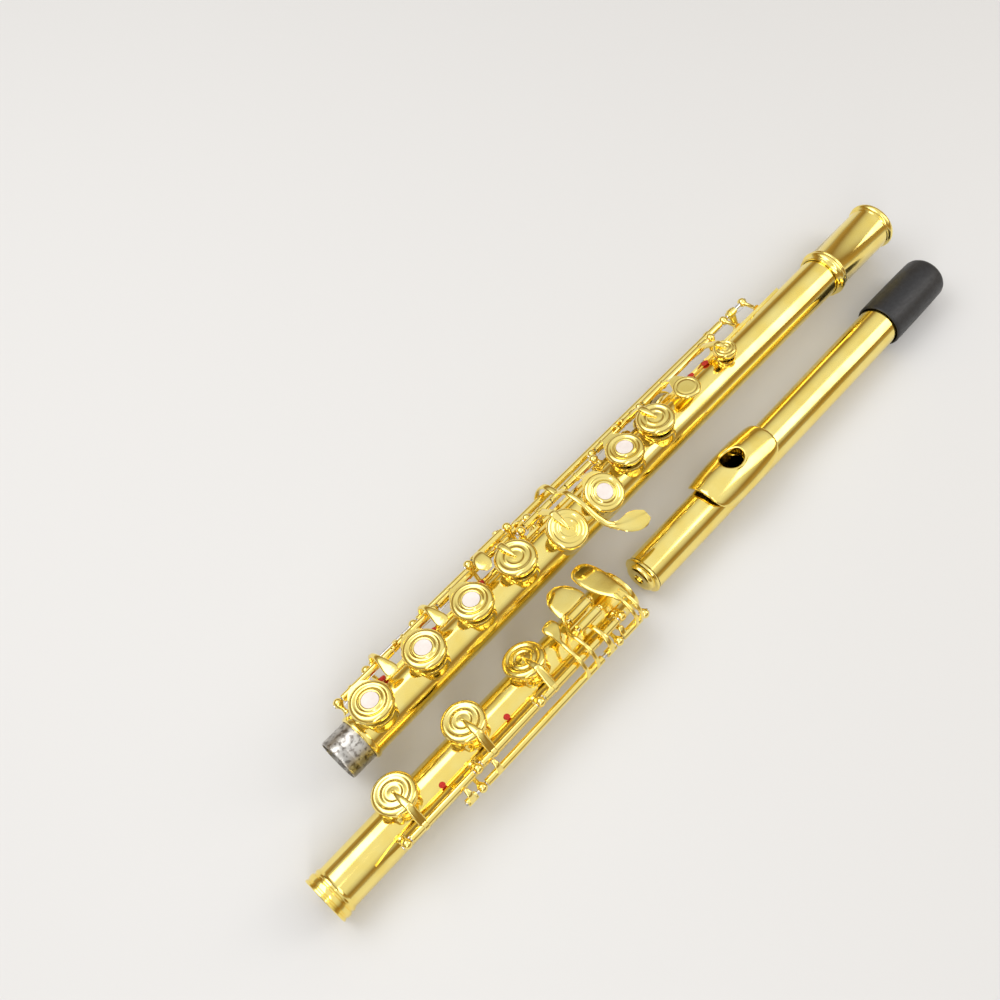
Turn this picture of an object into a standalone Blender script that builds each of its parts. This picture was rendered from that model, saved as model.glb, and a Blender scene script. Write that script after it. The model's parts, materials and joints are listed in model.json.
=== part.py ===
"""Open-hole concert flute, taken down into its three sections and laid side by side.

The body section lies along +X with its cups up and its rods towards +Y.  The foot and the head lie in line
beside it, at -Y.  Each section is built in its own frame: X along the tube, the cup line at +Z.  An angle
is measured about X from +Z towards +Y, and a distance "out" is measured from the tube's axis.
Lengths are in millimetres until the mesh is made.
"""

import math

import bmesh
import bpy
from mathutils import Matrix, Vector

MM = 0.001

# Section frames: where each tube's axis lies, and how far its cup line leans towards +Y.
LANE_Y = -36.0
FOOT_Y = -33.4
BODY_AXIS_Z = 18.0
LANE_AXIS_Z = 11.2
BODY_LEAN = 7.0
FOOT_LEAN = 28.0
HEAD_LEAN = 20.0
FOOT_X = -52.0
HEAD_X = 131.0

# Tubes.
TUBE_R = 9.9
BORE_R = 9.5
TUBE_STEPS = 24
BODY_LENGTH = 318.0
BARREL_END = 354.0
BARREL_R = 10.9
BARREL_BORE_R = 10.15
TENON_LENGTH = 12.0
TENON_R = 9.38
TENON_BORE_R = 8.8
FOOT_LENGTH = 174.0
SOCKET_OUTER_R = 10.6

# Tone holes and cups.
CHIMNEY_TOP = 12.2
CHIMNEY_WALL = 0.9
CUP_STEPS = 16
CUP_SEAT = 12.6
CUP_HEIGHT = 2.9
CUP_WALL = 0.6
CUP_CEILING = 1.75
PAD_GAP = 0.3
PAD_TOP = 1.45
PAD_BOTTOM = -0.25
FINGER_HOLE_R = 3.5
PLUG_R = 3.2

# Hinges.
HINGE_R = 1.7
HINGE_BORE_R = 1.15
ROD_R = 0.85
POST_R = 2.15
POST_WAIST_R = 1.0
POST_FOOT = 10.9
SLANTED_FOOT = 11.3
HINGE_STEPS = 8
KEY_TRAVEL = math.radians(9.0)

# Rod lines: angle about the tube and distance out, in degrees and millimetres.
MAIN_LINE = (64.0, 16.2)
OFFSET_LINE = (44.0, 15.2)
TRILL_LINE = (84.0, 18.6)
LEVER_LINE = (49.0, 20.2)
THUMB_LINE = (168.0, 14.2)
FOOT_LINE = (-67.0, 16.0)
FOOT_LEVER_LINE = (-92.0, 17.4)

# Body cups: place along the tube, angle, cup radius, tone-hole radius.
D_CUP = (11.5, 0.0, 9.4, 6.9)
E_CUP = (40.9, 0.0, 9.4, 6.9)
F_CUP = (68.7, 0.0, 9.3, 6.7)
F_SHARP_CUP = (94.9, 0.0, 9.3, 6.7)
LOWER_G_CUP = (119.5, -26.0, 9.2, 6.6)
G_CUP = (142.9, -26.0, 9.2, 6.6)
A_CUP = (164.9, 0.0, 8.8, 6.4)
B_FLAT_CUP = (185.7, 0.0, 8.8, 6.4)
INDEX_PLATE = (207.5, 0.0, 6.4)
C_SHARP_CUP = (235.0, 0.0, 5.4, 3.2)
G_SHARP_CUP = (122.0, 127.0, 8.4, 6.2)
THUMB_CUP = (205.3, 118.0, 8.2, 6.0)
D_TRILL_CUP = (246.0, 125.0, 5.2, 3.6)
D_SHARP_TRILL_CUP = (264.0, 125.0, 5.2, 3.6)
BODY_HOLES = (D_CUP, E_CUP, F_CUP, F_SHARP_CUP, LOWER_G_CUP, G_CUP, A_CUP, B_FLAT_CUP, C_SHARP_CUP,
              G_SHARP_CUP, THUMB_CUP, D_TRILL_CUP, D_SHARP_TRILL_CUP)

# Foot cups, from the foot's lower end.
FOOT_C_CUP = (45.3, 0.0, 9.5, 7.3)
FOOT_C_SHARP_CUP = (83.7, 0.0, 9.5, 7.3)
FOOT_D_SHARP_CUP = (119.3, 0.0, 9.5, 7.3)

# Head, from the crown's outer end.
HEAD_LENGTH = 218.0
CROWN_LENGTH = 12.0
EMBOUCHURE_X = 67.5
CORK_FACE_X = 50.5
CORK_LENGTH = 18.0
HEAD_WALL = 0.45
CAP_START = 179.5
CAP_END = 221.0
CAP_R = 11.2
CAP_BORE_R = 10.25

GOLD = ((0.95, 0.66, 0.22, 1.0), 0.16, 1.0)
SILVER = ((0.72, 0.70, 0.66, 1.0), 0.38, 1.0)
STEEL = ((0.62, 0.61, 0.60, 1.0), 0.3, 1.0)
PAD_SKIN = ((0.86, 0.80, 0.62, 1.0), 0.6, 0.0)
PLUG_WHITE = ((0.80, 0.74, 0.70, 1.0), 0.45, 0.0)
BLACK_PLASTIC = ((0.02, 0.02, 0.022, 1.0), 0.5, 0.0)
CORK_BROWN = ((0.55, 0.38, 0.22, 1.0), 0.85, 0.0)


# ---------------------------------------------------------------- scene


def start_scene():
    for obj in list(bpy.data.objects):
        bpy.data.objects.remove(obj, do_unlink=True)
    collection = bpy.data.collections.new("concert_flute")
    bpy.context.scene.collection.children.link(collection)
    return collection


def make_material(name, look):
    colour, roughness, metallic = look
    material = bpy.data.materials.new(name)
    material.use_nodes = True
    shader = material.node_tree.nodes["Principled BSDF"]
    shader.inputs["Base Color"].default_value = colour
    shader.inputs["Roughness"].default_value = roughness
    shader.inputs["Metallic"].default_value = metallic
    return material


def section_empty(name, x, y, z, lean):
    empty = bpy.data.objects.new(name, None)
    empty.location = (x * MM, y * MM, z * MM)
    empty.rotation_euler = (math.radians(-lean), 0.0, 0.0)
    FLUTE.objects.link(empty)
    return empty


def hinge_empty(name, section, line, rest_angle):
    empty = bpy.data.objects.new(name, None)
    empty.parent = section
    y, z = polar(line[0], line[1])
    empty.location = (0.0, y * MM, z * MM)
    empty.rotation_euler = (rest_angle, 0.0, 0.0)
    FLUTE.objects.link(empty)
    return empty


# ---------------------------------------------------------------- shapes


def polar(angle, out):
    turn = math.radians(angle)
    return out * math.sin(turn), out * math.cos(turn)


def facing(x, angle, out=0.0):
    """Turns a shape made along +Z so that it stands on the tube at this place and angle."""
    return (Matrix.Translation((x * MM, 0.0, 0.0))
            @ Matrix.Rotation(math.radians(-angle), 4, "X")
            @ Matrix.Translation((0.0, 0.0, out * MM)))


def along(x=0.0, line=(0.0, 0.0)):
    """Lays a shape made along +Z along the tube's +X, on a rod line."""
    y, z = polar(line[0], line[1])
    return Matrix.Translation((x * MM, y * MM, z * MM)) @ Matrix.Rotation(math.radians(90.0), 4, "Y")


def solid_from_mesh(mesh, name="piece"):
    obj = bpy.data.objects.new(name, mesh)
    FLUTE.objects.link(obj)
    return obj


def evaluated(obj):
    """Replaces an object by a plain mesh of what its modifiers make."""
    bpy.context.view_layer.update()
    graph = bpy.context.evaluated_depsgraph_get()
    mesh = bpy.data.meshes.new_from_object(obj.evaluated_get(graph))
    old = obj.data
    obj.modifiers.clear()
    obj.data = mesh
    bpy.data.meshes.remove(old)
    return obj


def turned(profile, matrix, steps=CUP_STEPS, loop=False):
    """A turned piece.  The profile of (radius, height) runs down the outer side; a loop leaves a bore."""
    mesh = bpy.data.meshes.new("turned")
    points = [(radius * MM, 0.0, height * MM) for radius, height in profile]
    edges = [(index, index + 1) for index in range(len(points) - 1)]
    if loop:
        edges.append((len(points) - 1, 0))
    mesh.from_pydata(points, edges, [])
    obj = solid_from_mesh(mesh)
    screw = obj.modifiers.new("Turn", "SCREW")
    screw.axis = "Z"
    screw.angle = math.radians(360.0)
    screw.steps = steps
    screw.render_steps = steps
    screw.use_merge_vertices = True
    screw.merge_threshold = 0.00001
    evaluated(obj)
    obj.data.transform(matrix)
    face_outwards(obj)
    return obj


def face_outwards(obj):
    edit = bmesh.new()
    edit.from_mesh(obj.data)
    bmesh.ops.remove_doubles(edit, verts=edit.verts, dist=0.000001)
    bmesh.ops.recalc_face_normals(edit, faces=edit.faces)
    edit.to_mesh(obj.data)
    edit.free()


def rod(radius, start, end, line=(0.0, 0.0), steps=8):
    profile = [(0.0, end), (radius, end), (radius, start), (0.0, start)]
    return turned(profile, along(0.0, line), steps)


def sleeve(outer, inner, start, end, line=(0.0, 0.0), steps=HINGE_STEPS):
    profile = [(outer, end), (outer, start), (inner, start), (inner, end)]
    return turned(profile, along(0.0, line), steps, loop=True)


def lofted(rings):
    """A closed solid through rings of points, all of one length."""
    edit = bmesh.new()
    rows = [[edit.verts.new(Vector(point) * MM) for point in ring] for ring in rings]
    count = len(rows[0])
    for lower, upper in zip(rows, rows[1:]):
        for index in range(count):
            after = (index + 1) % count
            edit.faces.new((lower[index], lower[after], upper[after], upper[index]))
    edit.faces.new(list(reversed(rows[0])))
    edit.faces.new(rows[-1])
    bmesh.ops.recalc_face_normals(edit, faces=edit.faces)
    mesh = bpy.data.meshes.new("lofted")
    edit.to_mesh(mesh)
    edit.free()
    return solid_from_mesh(mesh)


def bar(path, widths, depths, sides=6, across=(1.0, 0.0, 0.0)):
    """A bar with oval sections along a path; widths lie along `across`, depths at right angles to it."""
    points = [Vector(point) for point in path]
    rings = []
    for index, point in enumerate(points):
        before = points[max(index - 1, 0)]
        after = points[min(index + 1, len(points) - 1)]
        ahead = (after - before).normalized()
        side = Vector(across)
        side = (side - ahead * side.dot(ahead)).normalized()
        up = ahead.cross(side)
        ring = []
        for corner in range(sides):
            turn = 2.0 * math.pi * (corner + 0.5) / sides
            wide = side * (0.5 * widths[index] * math.cos(turn))
            deep = up * (0.5 * depths[index] * math.sin(turn))
            ring.append(tuple(point + wide + deep))
        rings.append(ring)
    return lofted(rings)


def cut_or_join(base, tool, operation):
    boolean = base.modifiers.new("Bool", "BOOLEAN")
    boolean.operation = operation
    boolean.solver = "MANIFOLD"
    boolean.object = tool
    evaluated(base)
    discard(tool)
    return base


def discard(obj):
    mesh = obj.data
    bpy.data.objects.remove(obj, do_unlink=True)
    bpy.data.meshes.remove(mesh)


def joined(*pieces):
    base = pieces[0]
    for piece in pieces[1:]:
        cut_or_join(base, piece, "UNION")
    return base


def cut(base, *tools):
    for tool in tools:
        cut_or_join(base, tool, "DIFFERENCE")
    return base


def finish(obj, name, material, parent, line=None):
    """Names a piece, gives it its material and hangs it on its section or hinge."""
    if line is not None:
        y, z = polar(line[0], line[1])
        obj.data.transform(Matrix.Translation((0.0, -y * MM, -z * MM)))
    obj.name = name
    obj.data.name = name
    obj.data.materials.clear()
    obj.data.materials.append(material)
    obj.parent = parent
    for polygon in obj.data.polygons:
        polygon.use_smooth = True
    obj.data.set_sharp_from_angle(angle=math.radians(38.0))
    return obj


# ---------------------------------------------------------------- cups, arms and posts


def cup_frame(x, angle):
    """Places a point given across (towards +Y), along and out from the tube under a cup."""
    def place(along_x, across, out):
        turn = math.radians(angle)
        y = across * math.cos(turn) + out * math.sin(turn)
        z = -across * math.sin(turn) + out * math.cos(turn)
        return (x + along_x, y, z)
    return place


def hinge_in_cup_frame(angle, line):
    turn = math.radians(line[0] - angle)
    return line[1] * math.sin(turn), line[1] * math.cos(turn)


def closed_cup(cup):
    x, angle, radius = cup[0], cup[1], cup[2]
    profile = [(0.0, CUP_HEIGHT), (radius - 1.7, CUP_HEIGHT), (radius - 0.5, CUP_HEIGHT - 0.4),
               (radius, CUP_HEIGHT - 1.2), (radius, 0.0), (radius - CUP_WALL, 0.0),
               (radius - CUP_WALL, CUP_CEILING), (0.0, CUP_CEILING)]
    return turned(profile, facing(x, angle, CUP_SEAT))


def open_cup(cup):
    x, angle, radius = cup[0], cup[1], cup[2]
    profile = [(radius - 1.7, CUP_HEIGHT), (radius - 0.4, CUP_HEIGHT - 0.5), (radius, CUP_HEIGHT - 1.3),
               (radius, 0.0), (radius - CUP_WALL, 0.0), (radius - CUP_WALL, CUP_CEILING),
               (FINGER_HOLE_R, CUP_CEILING), (FINGER_HOLE_R, CUP_HEIGHT + 0.3),
               (FINGER_HOLE_R + 1.4, CUP_HEIGHT + 0.3), (FINGER_HOLE_R + 1.7, CUP_HEIGHT)]
    return turned(profile, facing(x, angle, CUP_SEAT), loop=True)


def closed_pad(cup):
    radius = cup[2] - CUP_WALL - PAD_GAP
    profile = [(0.0, PAD_TOP), (radius, PAD_TOP), (radius, PAD_BOTTOM), (0.0, PAD_BOTTOM)]
    return turned(profile, facing(cup[0], cup[1], CUP_SEAT))


def ring_pad(cup):
    radius = cup[2] - CUP_WALL - PAD_GAP
    inner = PLUG_R + PAD_GAP
    profile = [(radius, PAD_TOP), (radius, PAD_BOTTOM), (inner, PAD_BOTTOM), (inner, PAD_TOP)]
    return turned(profile, facing(cup[0], cup[1], CUP_SEAT), loop=True)


def hole_plug(cup):
    top = CUP_HEIGHT + 0.2
    profile = [(0.0, top + 0.15), (PLUG_R - 0.5, top + 0.1), (PLUG_R, top - 0.3), (PLUG_R, 0.2), (0.0, 0.2)]
    return turned(profile, facing(cup[0], cup[1], CUP_SEAT), 14)


def pointed_arm(cup, line, x_hinge=None):
    """The arm that runs from the hinge over a closed cup and ends in a point at its centre."""
    x, angle, radius = cup[0], cup[1], cup[2]
    place = cup_frame(x, angle)
    hinge_across, hinge_out = hinge_in_cup_frame(angle, line)
    side = math.copysign(1.0, hinge_across)
    shift = 0.0 if x_hinge is None else x_hinge - x
    top = CUP_SEAT + CUP_HEIGHT
    start = Vector((0.0, hinge_across, hinge_out))
    rim = Vector((0.0, side * (radius + 0.4), top - 0.7))
    toward = (rim - start).normalized()
    first = start + toward * (HINGE_R - 0.3)
    path = [place(shift, first[1], first[2]),
            place(shift * 0.4, rim[1], rim[2]),
            place(0.0, side * (radius - 1.8), top + 0.25),
            place(0.0, side * radius * 0.4, top + 0.4),
            place(0.0, -side * radius * 0.06, top + 0.05)]
    return bar(path, (4.4, 3.6, 3.6, 2.8, 0.7), (2.2, 1.5, 1.4, 1.3, 0.8))


def forked_arm(cup, line):
    """The arm of an open cup: two short branches to the rim."""
    x, angle, radius = cup[0], cup[1], cup[2]
    place = cup_frame(x, angle)
    hinge_across, hinge_out = hinge_in_cup_frame(angle, line)
    side = math.copysign(1.0, hinge_across)
    level = CUP_SEAT + CUP_CEILING + 0.65
    start = Vector((0.0, hinge_across, hinge_out))
    knee = Vector((0.0, side * (radius + 1.2), level - 0.1))
    toward = (knee - start).normalized()
    first = start + toward * (HINGE_R - 0.3)
    branches = []
    for hand in (-1.0, 1.0):
        reach = 0.55 * radius
        rim = math.sqrt(radius * radius - reach * reach) - 0.25
        path = [place(hand * 0.7, first[1], first[2]),
                place(hand * 1.3, side * (radius + 1.2), level - 0.1),
                place(hand * reach, side * rim, level)]
        branches.append(bar(path, (3.0, 2.4, 2.2), (2.0, 1.5, 1.1)))
    return joined(*branches)


def post(x, line, foot_angle, foot_out=POST_FOOT):
    """A ball-topped post that stands on the rib and holds a rod."""
    foot = Vector((x, *polar(foot_angle, foot_out)))
    head = Vector((x, *polar(line[0], line[1])))
    height = (head - foot).length
    profile = [(0.0, height + POST_R), (POST_R * 0.72, height + POST_R * 0.7), (POST_R, height),
               (POST_R * 0.72, height - POST_R * 0.7), (POST_WAIST_R, height - POST_R * 1.1),
               (POST_WAIST_R, 0.8), (POST_WAIST_R + 0.8, 0.0), (0.0, 0.0)]
    stand = (head - foot).to_track_quat("Z", "Y").to_matrix().to_4x4()
    matrix = Matrix.Translation(foot * MM) @ stand
    return turned(profile, matrix, 8)


def rib(start, end, angle, half_width, tip):
    """The strap soldered along the tube, with a pointed end."""
    inner = TUBE_R + 0.25
    outer = inner + 0.9
    rings = []
    for x, share in ((start, 1.0), (end - tip, 1.0), (end - 0.4 * tip, 0.55), (end, 0.12)):
        ring = []
        for step in (-1.0, 0.0, 1.0):
            ring.append((x, *polar(angle + step * half_width * share, outer)))
        for step in (1.0, 0.0, -1.0):
            ring.append((x, *polar(angle + step * (half_width * share + 2.0), inner)))
        rings.append(ring)
    return lofted(rings)


def rod_cutter(start, end, line):
    return rod(HINGE_BORE_R, start, end, line, 8)


# ---------------------------------------------------------------- body section


def chimney(cup):
    radius = cup[3] + CHIMNEY_WALL
    profile = [(0.0, CHIMNEY_TOP), (radius, CHIMNEY_TOP), (radius, 5.0), (0.0, 5.0)]
    return turned(profile, facing(cup[0], cup[1]), CUP_STEPS)


def hole_cutter(cup):
    radius = cup[3]
    profile = [(0.0, CHIMNEY_TOP + 2.0), (radius, CHIMNEY_TOP + 2.0), (radius, 3.0), (0.0, 3.0)]
    return turned(profile, facing(cup[0], cup[1]), CUP_STEPS)


def bored_tube(start, end, cups, rings=()):
    """A tube with its tone-hole chimneys and soldered rings, bored through."""
    tube = rod(TUBE_R, start, end, steps=TUBE_STEPS)
    for cup in cups:
        cut_or_join(tube, chimney(cup), "UNION")
    for ring in rings:
        cut_or_join(tube, ring, "UNION")
    cut_or_join(tube, rod(BORE_R, start - 9.0, end + 9.0, steps=TUBE_STEPS), "DIFFERENCE")
    for cup in cups:
        cut_or_join(tube, hole_cutter(cup), "DIFFERENCE")
    return tube


def make_body_tube(section):
    profile = [(TUBE_R + 0.75, 2.2), (TUBE_R + 0.75, 0.3), (TUBE_R + 0.4, 0.1), (TUBE_R - 0.2, 0.1),
               (TUBE_R - 0.2, 2.5), (TUBE_R + 0.4, 2.5)]
    shoulder = turned(profile, along(), TUBE_STEPS, loop=True)
    tube = bored_tube(0.0, BODY_LENGTH, BODY_HOLES, [shoulder])
    finish(tube, "body_tube", MATERIALS["gold"], section)


def make_barrel(section):
    """The barrel slides over the tube's top end and takes the head; it has raised rings at both ends."""
    start = BODY_LENGTH - 8.5
    rings = [(BARREL_END, BARREL_R + 0.7), (BARREL_END - 0.9, BARREL_R + 1.1),
             (BARREL_END - 2.5, BARREL_R + 1.1), (BARREL_END - 3.3, BARREL_R + 0.4),
             (BARREL_END - 4.0, BARREL_R + 0.3), (BARREL_END - 4.2, BARREL_R), (start + 6.3, BARREL_R),
             (start + 5.9, BARREL_R + 0.5), (start + 4.9, BARREL_R + 0.5),
             (start + 4.3, BARREL_R + 1.1), (start + 2.3, BARREL_R + 1.1), (start + 1.6, BARREL_R + 0.3),
             (start, BARREL_R + 0.3)]
    profile = [(radius, x) for x, radius in rings]
    profile += [(BARREL_BORE_R, start), (BARREL_BORE_R, BARREL_END)]
    barrel = turned(profile, along(), TUBE_STEPS, loop=True)
    finish(barrel, "barrel", MATERIALS["gold"], section)


def make_body_tenon(section):
    """The unplated tenon that is soldered inside the tube's lower end and enters the foot."""
    inside_r = BORE_R - 0.3
    profile = [(inside_r, 6.0), (inside_r, -0.3), (TENON_R, -0.5), (TENON_R, -TENON_LENGTH),
               (TENON_BORE_R, -TENON_LENGTH), (TENON_BORE_R, 6.0)]
    tenon = turned(profile, along(), TUBE_STEPS, loop=True)
    finish(tenon, "body_tenon", MATERIALS["silver"], section)


MAIN_POSTS = (3.6, 58.0, 115.2, 158.0, 190.8, 242.4)
TRILL_POSTS = (21.6, 49.0, 258.0, 272.4)
OFFSET_POSTS = (107.6, 154.6)
LEVER_POSTS = (80.6, 104.2)
THUMB_POSTS = (170.6, 187.6, 216.0)


def make_body_rib(section):
    strap = rib(5.2, 288.0, 65.0, 6.5, 14.0)
    for x in MAIN_POSTS:
        joined(strap, post(x, MAIN_LINE, 64.0))
    for x in TRILL_POSTS:
        joined(strap, post(x, TRILL_LINE, 70.0))
    for x in OFFSET_POSTS:
        joined(strap, post(x, OFFSET_LINE, 61.0, SLANTED_FOOT))
    for x in LEVER_POSTS:
        joined(strap, post(x, LEVER_LINE, 60.0))
    cut(strap,
        rod_cutter(0.0, 250.0, MAIN_LINE),
        rod_cutter(10.0, 290.0, TRILL_LINE),
        rod_cutter(100.0, 160.0, OFFSET_LINE),
        rod_cutter(70.0, 110.0, LEVER_LINE))
    finish(strap, "body_rib", MATERIALS["gold"], section)


def make_thumb_rib(section):
    strap = rib(166.0, 221.0, 174.0, 8.0, 4.0)
    for x in THUMB_POSTS:
        joined(strap, post(x, THUMB_LINE, 172.0))
    cut(strap, rod_cutter(150.0, 230.0, THUMB_LINE))
    finish(strap, "thumb_rib", MATERIALS["gold"], section)


def make_body_rods(section):
    finish(rod(ROD_R, 3.0, 115.6, MAIN_LINE), "lower_rod", MATERIALS["steel"], section)
    finish(rod(ROD_R, 157.2, 243.0, MAIN_LINE), "upper_rod", MATERIALS["steel"], section)
    finish(rod(ROD_R, 106.8, 155.4, OFFSET_LINE), "offset_g_rod", MATERIALS["steel"], section)
    finish(rod(ROD_R, 79.8, 105.0, LEVER_LINE), "b_flat_lever_rod", MATERIALS["steel"], section)
    finish(rod(ROD_R, 169.8, 216.8, THUMB_LINE), "thumb_rod", MATERIALS["steel"], section)


def hang(obj, name, hinge, line, material="gold"):
    return finish(obj, name, MATERIALS[material], hinge, line)


def open_key(section, name, cup, line, start, end):
    """A key that stands open, with a finger hole, its ring pad and its plug."""
    hinge = hinge_empty(name + "_hinge", section, line, -KEY_TRAVEL)
    key = joined(open_cup(cup), forked_arm(cup, line), sleeve(HINGE_R, HINGE_BORE_R, start, end, line))
    hang(key, name + "_key", hinge, line)
    hang(ring_pad(cup), name + "_pad", hinge, line, "pad")
    hang(hole_plug(cup), name + "_plug", hinge, line, "plug")


def plateau_key(section, name, cup, line, start, end):
    """A key that stands open, with a closed cup."""
    rest = -KEY_TRAVEL if line[0] > cup[1] else KEY_TRAVEL
    hinge = hinge_empty(name + "_hinge", section, line, rest)
    key = joined(closed_cup(cup), pointed_arm(cup, line), sleeve(HINGE_R, HINGE_BORE_R, start, end, line))
    hang(key, name + "_key", hinge, line)
    hang(closed_pad(cup), name + "_pad", hinge, line, "pad")


def make_main_keys(section):
    open_key(section, "d", D_CUP, MAIN_LINE, 6.1, 33.8)
    open_key(section, "e", E_CUP, MAIN_LINE, 34.2, 55.5)
    open_key(section, "f", F_CUP, MAIN_LINE, 60.5, 85.0)
    plateau_key(section, "f_sharp", F_SHARP_CUP, MAIN_LINE, 85.4, 112.7)
    plateau_key(section, "lower_g", LOWER_G_CUP, OFFSET_LINE, 110.1, 126.4)
    open_key(section, "g", G_CUP, OFFSET_LINE, 136.2, 152.1)
    open_key(section, "a", A_CUP, MAIN_LINE, 160.5, 176.2)
    plateau_key(section, "b_flat", B_FLAT_CUP, MAIN_LINE, 176.6, 188.3)


def make_index_key(section):
    """The index finger's plate and the small upper cup share one hinge tube."""
    hinge = hinge_empty("index_hinge", section, MAIN_LINE, -KEY_TRAVEL)
    x, angle, radius = INDEX_PLATE
    profile = [(0.0, 2.5), (radius - 1.3, 2.5), (radius, 1.7), (radius, 0.6), (radius - 0.8, 0.0), (0.0, 0.0)]
    plate = turned(profile, facing(x, angle, CUP_SEAT), 16)
    key = joined(plate, forked_arm((x, angle, radius), MAIN_LINE), closed_cup(C_SHARP_CUP),
                 pointed_arm(C_SHARP_CUP, MAIN_LINE), sleeve(HINGE_R, HINGE_BORE_R, 193.3, 239.9, MAIN_LINE))
    hang(key, "index_key", hinge, MAIN_LINE)


def line_path(x, points):
    return [(x + shift, *polar(angle, out)) for shift, angle, out in points]


def make_g_sharp_key(section):
    """A see-saw on the offset rod: the touch in front lifts the closed cup behind."""
    hinge = hinge_empty("g_sharp_hinge", section, OFFSET_LINE, 0.0)
    x = 131.3
    sleeve_piece = sleeve(HINGE_R, HINGE_BORE_R, 126.8, 135.8, OFFSET_LINE)
    front_path = line_path(x, [(0.0, 40.0, 16.2), (0.0, 18.0, 18.6), (0.0, -10.0, 18.8), (1.0, -38.0, 18.6),
                               (4.0, -58.0, 19.6), (8.5, -66.0, 22.8), (13.5, -68.0, 24.8),
                               (17.0, -69.0, 25.6)])
    front = bar(front_path, (3.4, 2.6, 2.4, 2.6, 5.6, 8.4, 6.6, 1.6),
                (1.6, 1.4, 1.4, 1.4, 1.4, 1.5, 1.4, 0.9), 6, (0.6, 0.8, 0.0))
    rear_path = line_path(x, [(0.0, 48.0, 16.2), (0.0, 64.0, 20.6), (-1.0, 84.0, 22.2), (-5.0, 102.0, 20.0),
                              (-9.3, 120.0, 16.2), (-9.3, 128.0, 15.6)])
    rear = bar(rear_path, (3.4, 2.8, 2.6, 2.8, 2.6, 1.0), (1.6, 1.5, 1.4, 1.4, 1.3, 0.9))
    key = joined(sleeve_piece, front, rear, closed_cup(G_SHARP_CUP))
    hang(key, "g_sharp_key", hinge, OFFSET_LINE)
    hang(closed_pad(G_SHARP_CUP), "g_sharp_pad", hinge, OFFSET_LINE, "pad")


def trill_touch(x):
    return bar(line_path(x, [(0.0, 82.0, 20.0), (0.0, 66.0, 20.8), (0.0, 46.0, 20.4), (0.0, 28.0, 17.6),
                             (0.0, 16.0, 16.2), (0.0, 11.0, 16.0)]),
               (2.6, 2.4, 2.4, 4.4, 5.0, 3.0), (1.6, 1.5, 1.4, 1.3, 1.2, 0.8))


def make_trill_keys(section):
    """The upper trill key's tube turns on the lower one's long rod."""
    hinge = hinge_empty("d_trill_hinge", section, TRILL_LINE, 0.0)
    key = joined(sleeve(HINGE_R, HINGE_BORE_R, 51.6, 255.4, TRILL_LINE), trill_touch(54.8),
                 closed_cup(D_TRILL_CUP), pointed_arm(D_TRILL_CUP, TRILL_LINE))
    hang(key, "d_trill_key", hinge, TRILL_LINE)
    hinge = hinge_empty("d_sharp_trill_hinge", section, TRILL_LINE, 0.0)
    collar = rod(HINGE_R, 24.2, 28.4, TRILL_LINE, HINGE_STEPS)
    far_collar = rod(HINGE_R, 261.4, 266.6, TRILL_LINE, HINGE_STEPS)
    key = joined(rod(ROD_R, 20.6, 273.4, TRILL_LINE), collar, far_collar, trill_touch(26.2),
                 closed_cup(D_SHARP_TRILL_CUP), pointed_arm(D_SHARP_TRILL_CUP, TRILL_LINE))
    hang(key, "d_sharp_trill_key", hinge, TRILL_LINE)


def make_b_flat_lever(section):
    hinge = hinge_empty("b_flat_lever_hinge", section, LEVER_LINE, 0.0)
    leaf = bar(line_path(86.0, [(0.0, 47.0, 21.4), (-0.5, 40.0, 21.6), (-1.5, 32.0, 20.4), (-2.0, 24.0, 19.2),
                                (-2.4, 18.0, 18.4)]),
               (3.0, 5.0, 7.0, 6.4, 2.4), (1.6, 1.5, 1.3, 1.2, 0.9))
    finger = bar(line_path(99.6, [(0.0, 51.0, 21.4), (0.0, 60.0, 21.6), (0.0, 66.0, 20.6)]),
                 (2.6, 2.2, 1.6), (1.5, 1.3, 1.0))
    key = joined(sleeve(HINGE_R, HINGE_BORE_R, 83.1, 101.7, LEVER_LINE), leaf, finger)
    hang(key, "b_flat_lever", hinge, LEVER_LINE)


def thumb_plate(x, length):
    half = 0.5 * length
    rings = []
    for shift, share in ((-half, 0.5), (-0.7 * half, 0.9), (0.0, 1.0), (0.7 * half, 0.9), (half, 0.5)):
        middle = 124.0
        spread = 24.0 * share
        ring = []
        for step in (-1.0, -0.33, 0.33, 1.0):
            ring.append((x + shift, *polar(middle + step * spread, 16.4)))
        for step in (1.0, 0.33, -0.33, -1.0):
            ring.append((x + shift, *polar(middle + step * spread, 15.2)))
        rings.append(ring)
    return lofted(rings)


def thumb_arm(x):
    return bar(line_path(x, [(0.0, 164.0, 15.6), (0.0, 156.0, 16.4), (0.0, 146.0, 16.0), (0.0, 138.0, 15.8)]),
               (4.0, 4.0, 4.0, 3.6), (1.4, 1.4, 1.2, 1.0))


def make_thumb_keys(section):
    hinge = hinge_empty("thumb_hinge", section, THUMB_LINE, -KEY_TRAVEL)
    key = joined(closed_cup(THUMB_CUP), pointed_arm(THUMB_CUP, THUMB_LINE),
                 sleeve(HINGE_R, HINGE_BORE_R, 190.1, 213.5, THUMB_LINE),
                 thumb_plate(192.0, 6.4), thumb_arm(192.0))
    hang(key, "thumb_key", hinge, THUMB_LINE)
    hang(closed_pad(THUMB_CUP), "thumb_pad", hinge, THUMB_LINE, "pad")
    hinge = hinge_empty("thumb_b_flat_hinge", section, THUMB_LINE, -KEY_TRAVEL)
    key = joined(thumb_plate(180.0, 12.0), thumb_arm(179.0),
                 sleeve(HINGE_R, HINGE_BORE_R, 173.1, 185.1, THUMB_LINE))
    hang(key, "thumb_b_flat_key", hinge, THUMB_LINE)


# ---------------------------------------------------------------- foot section


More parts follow.
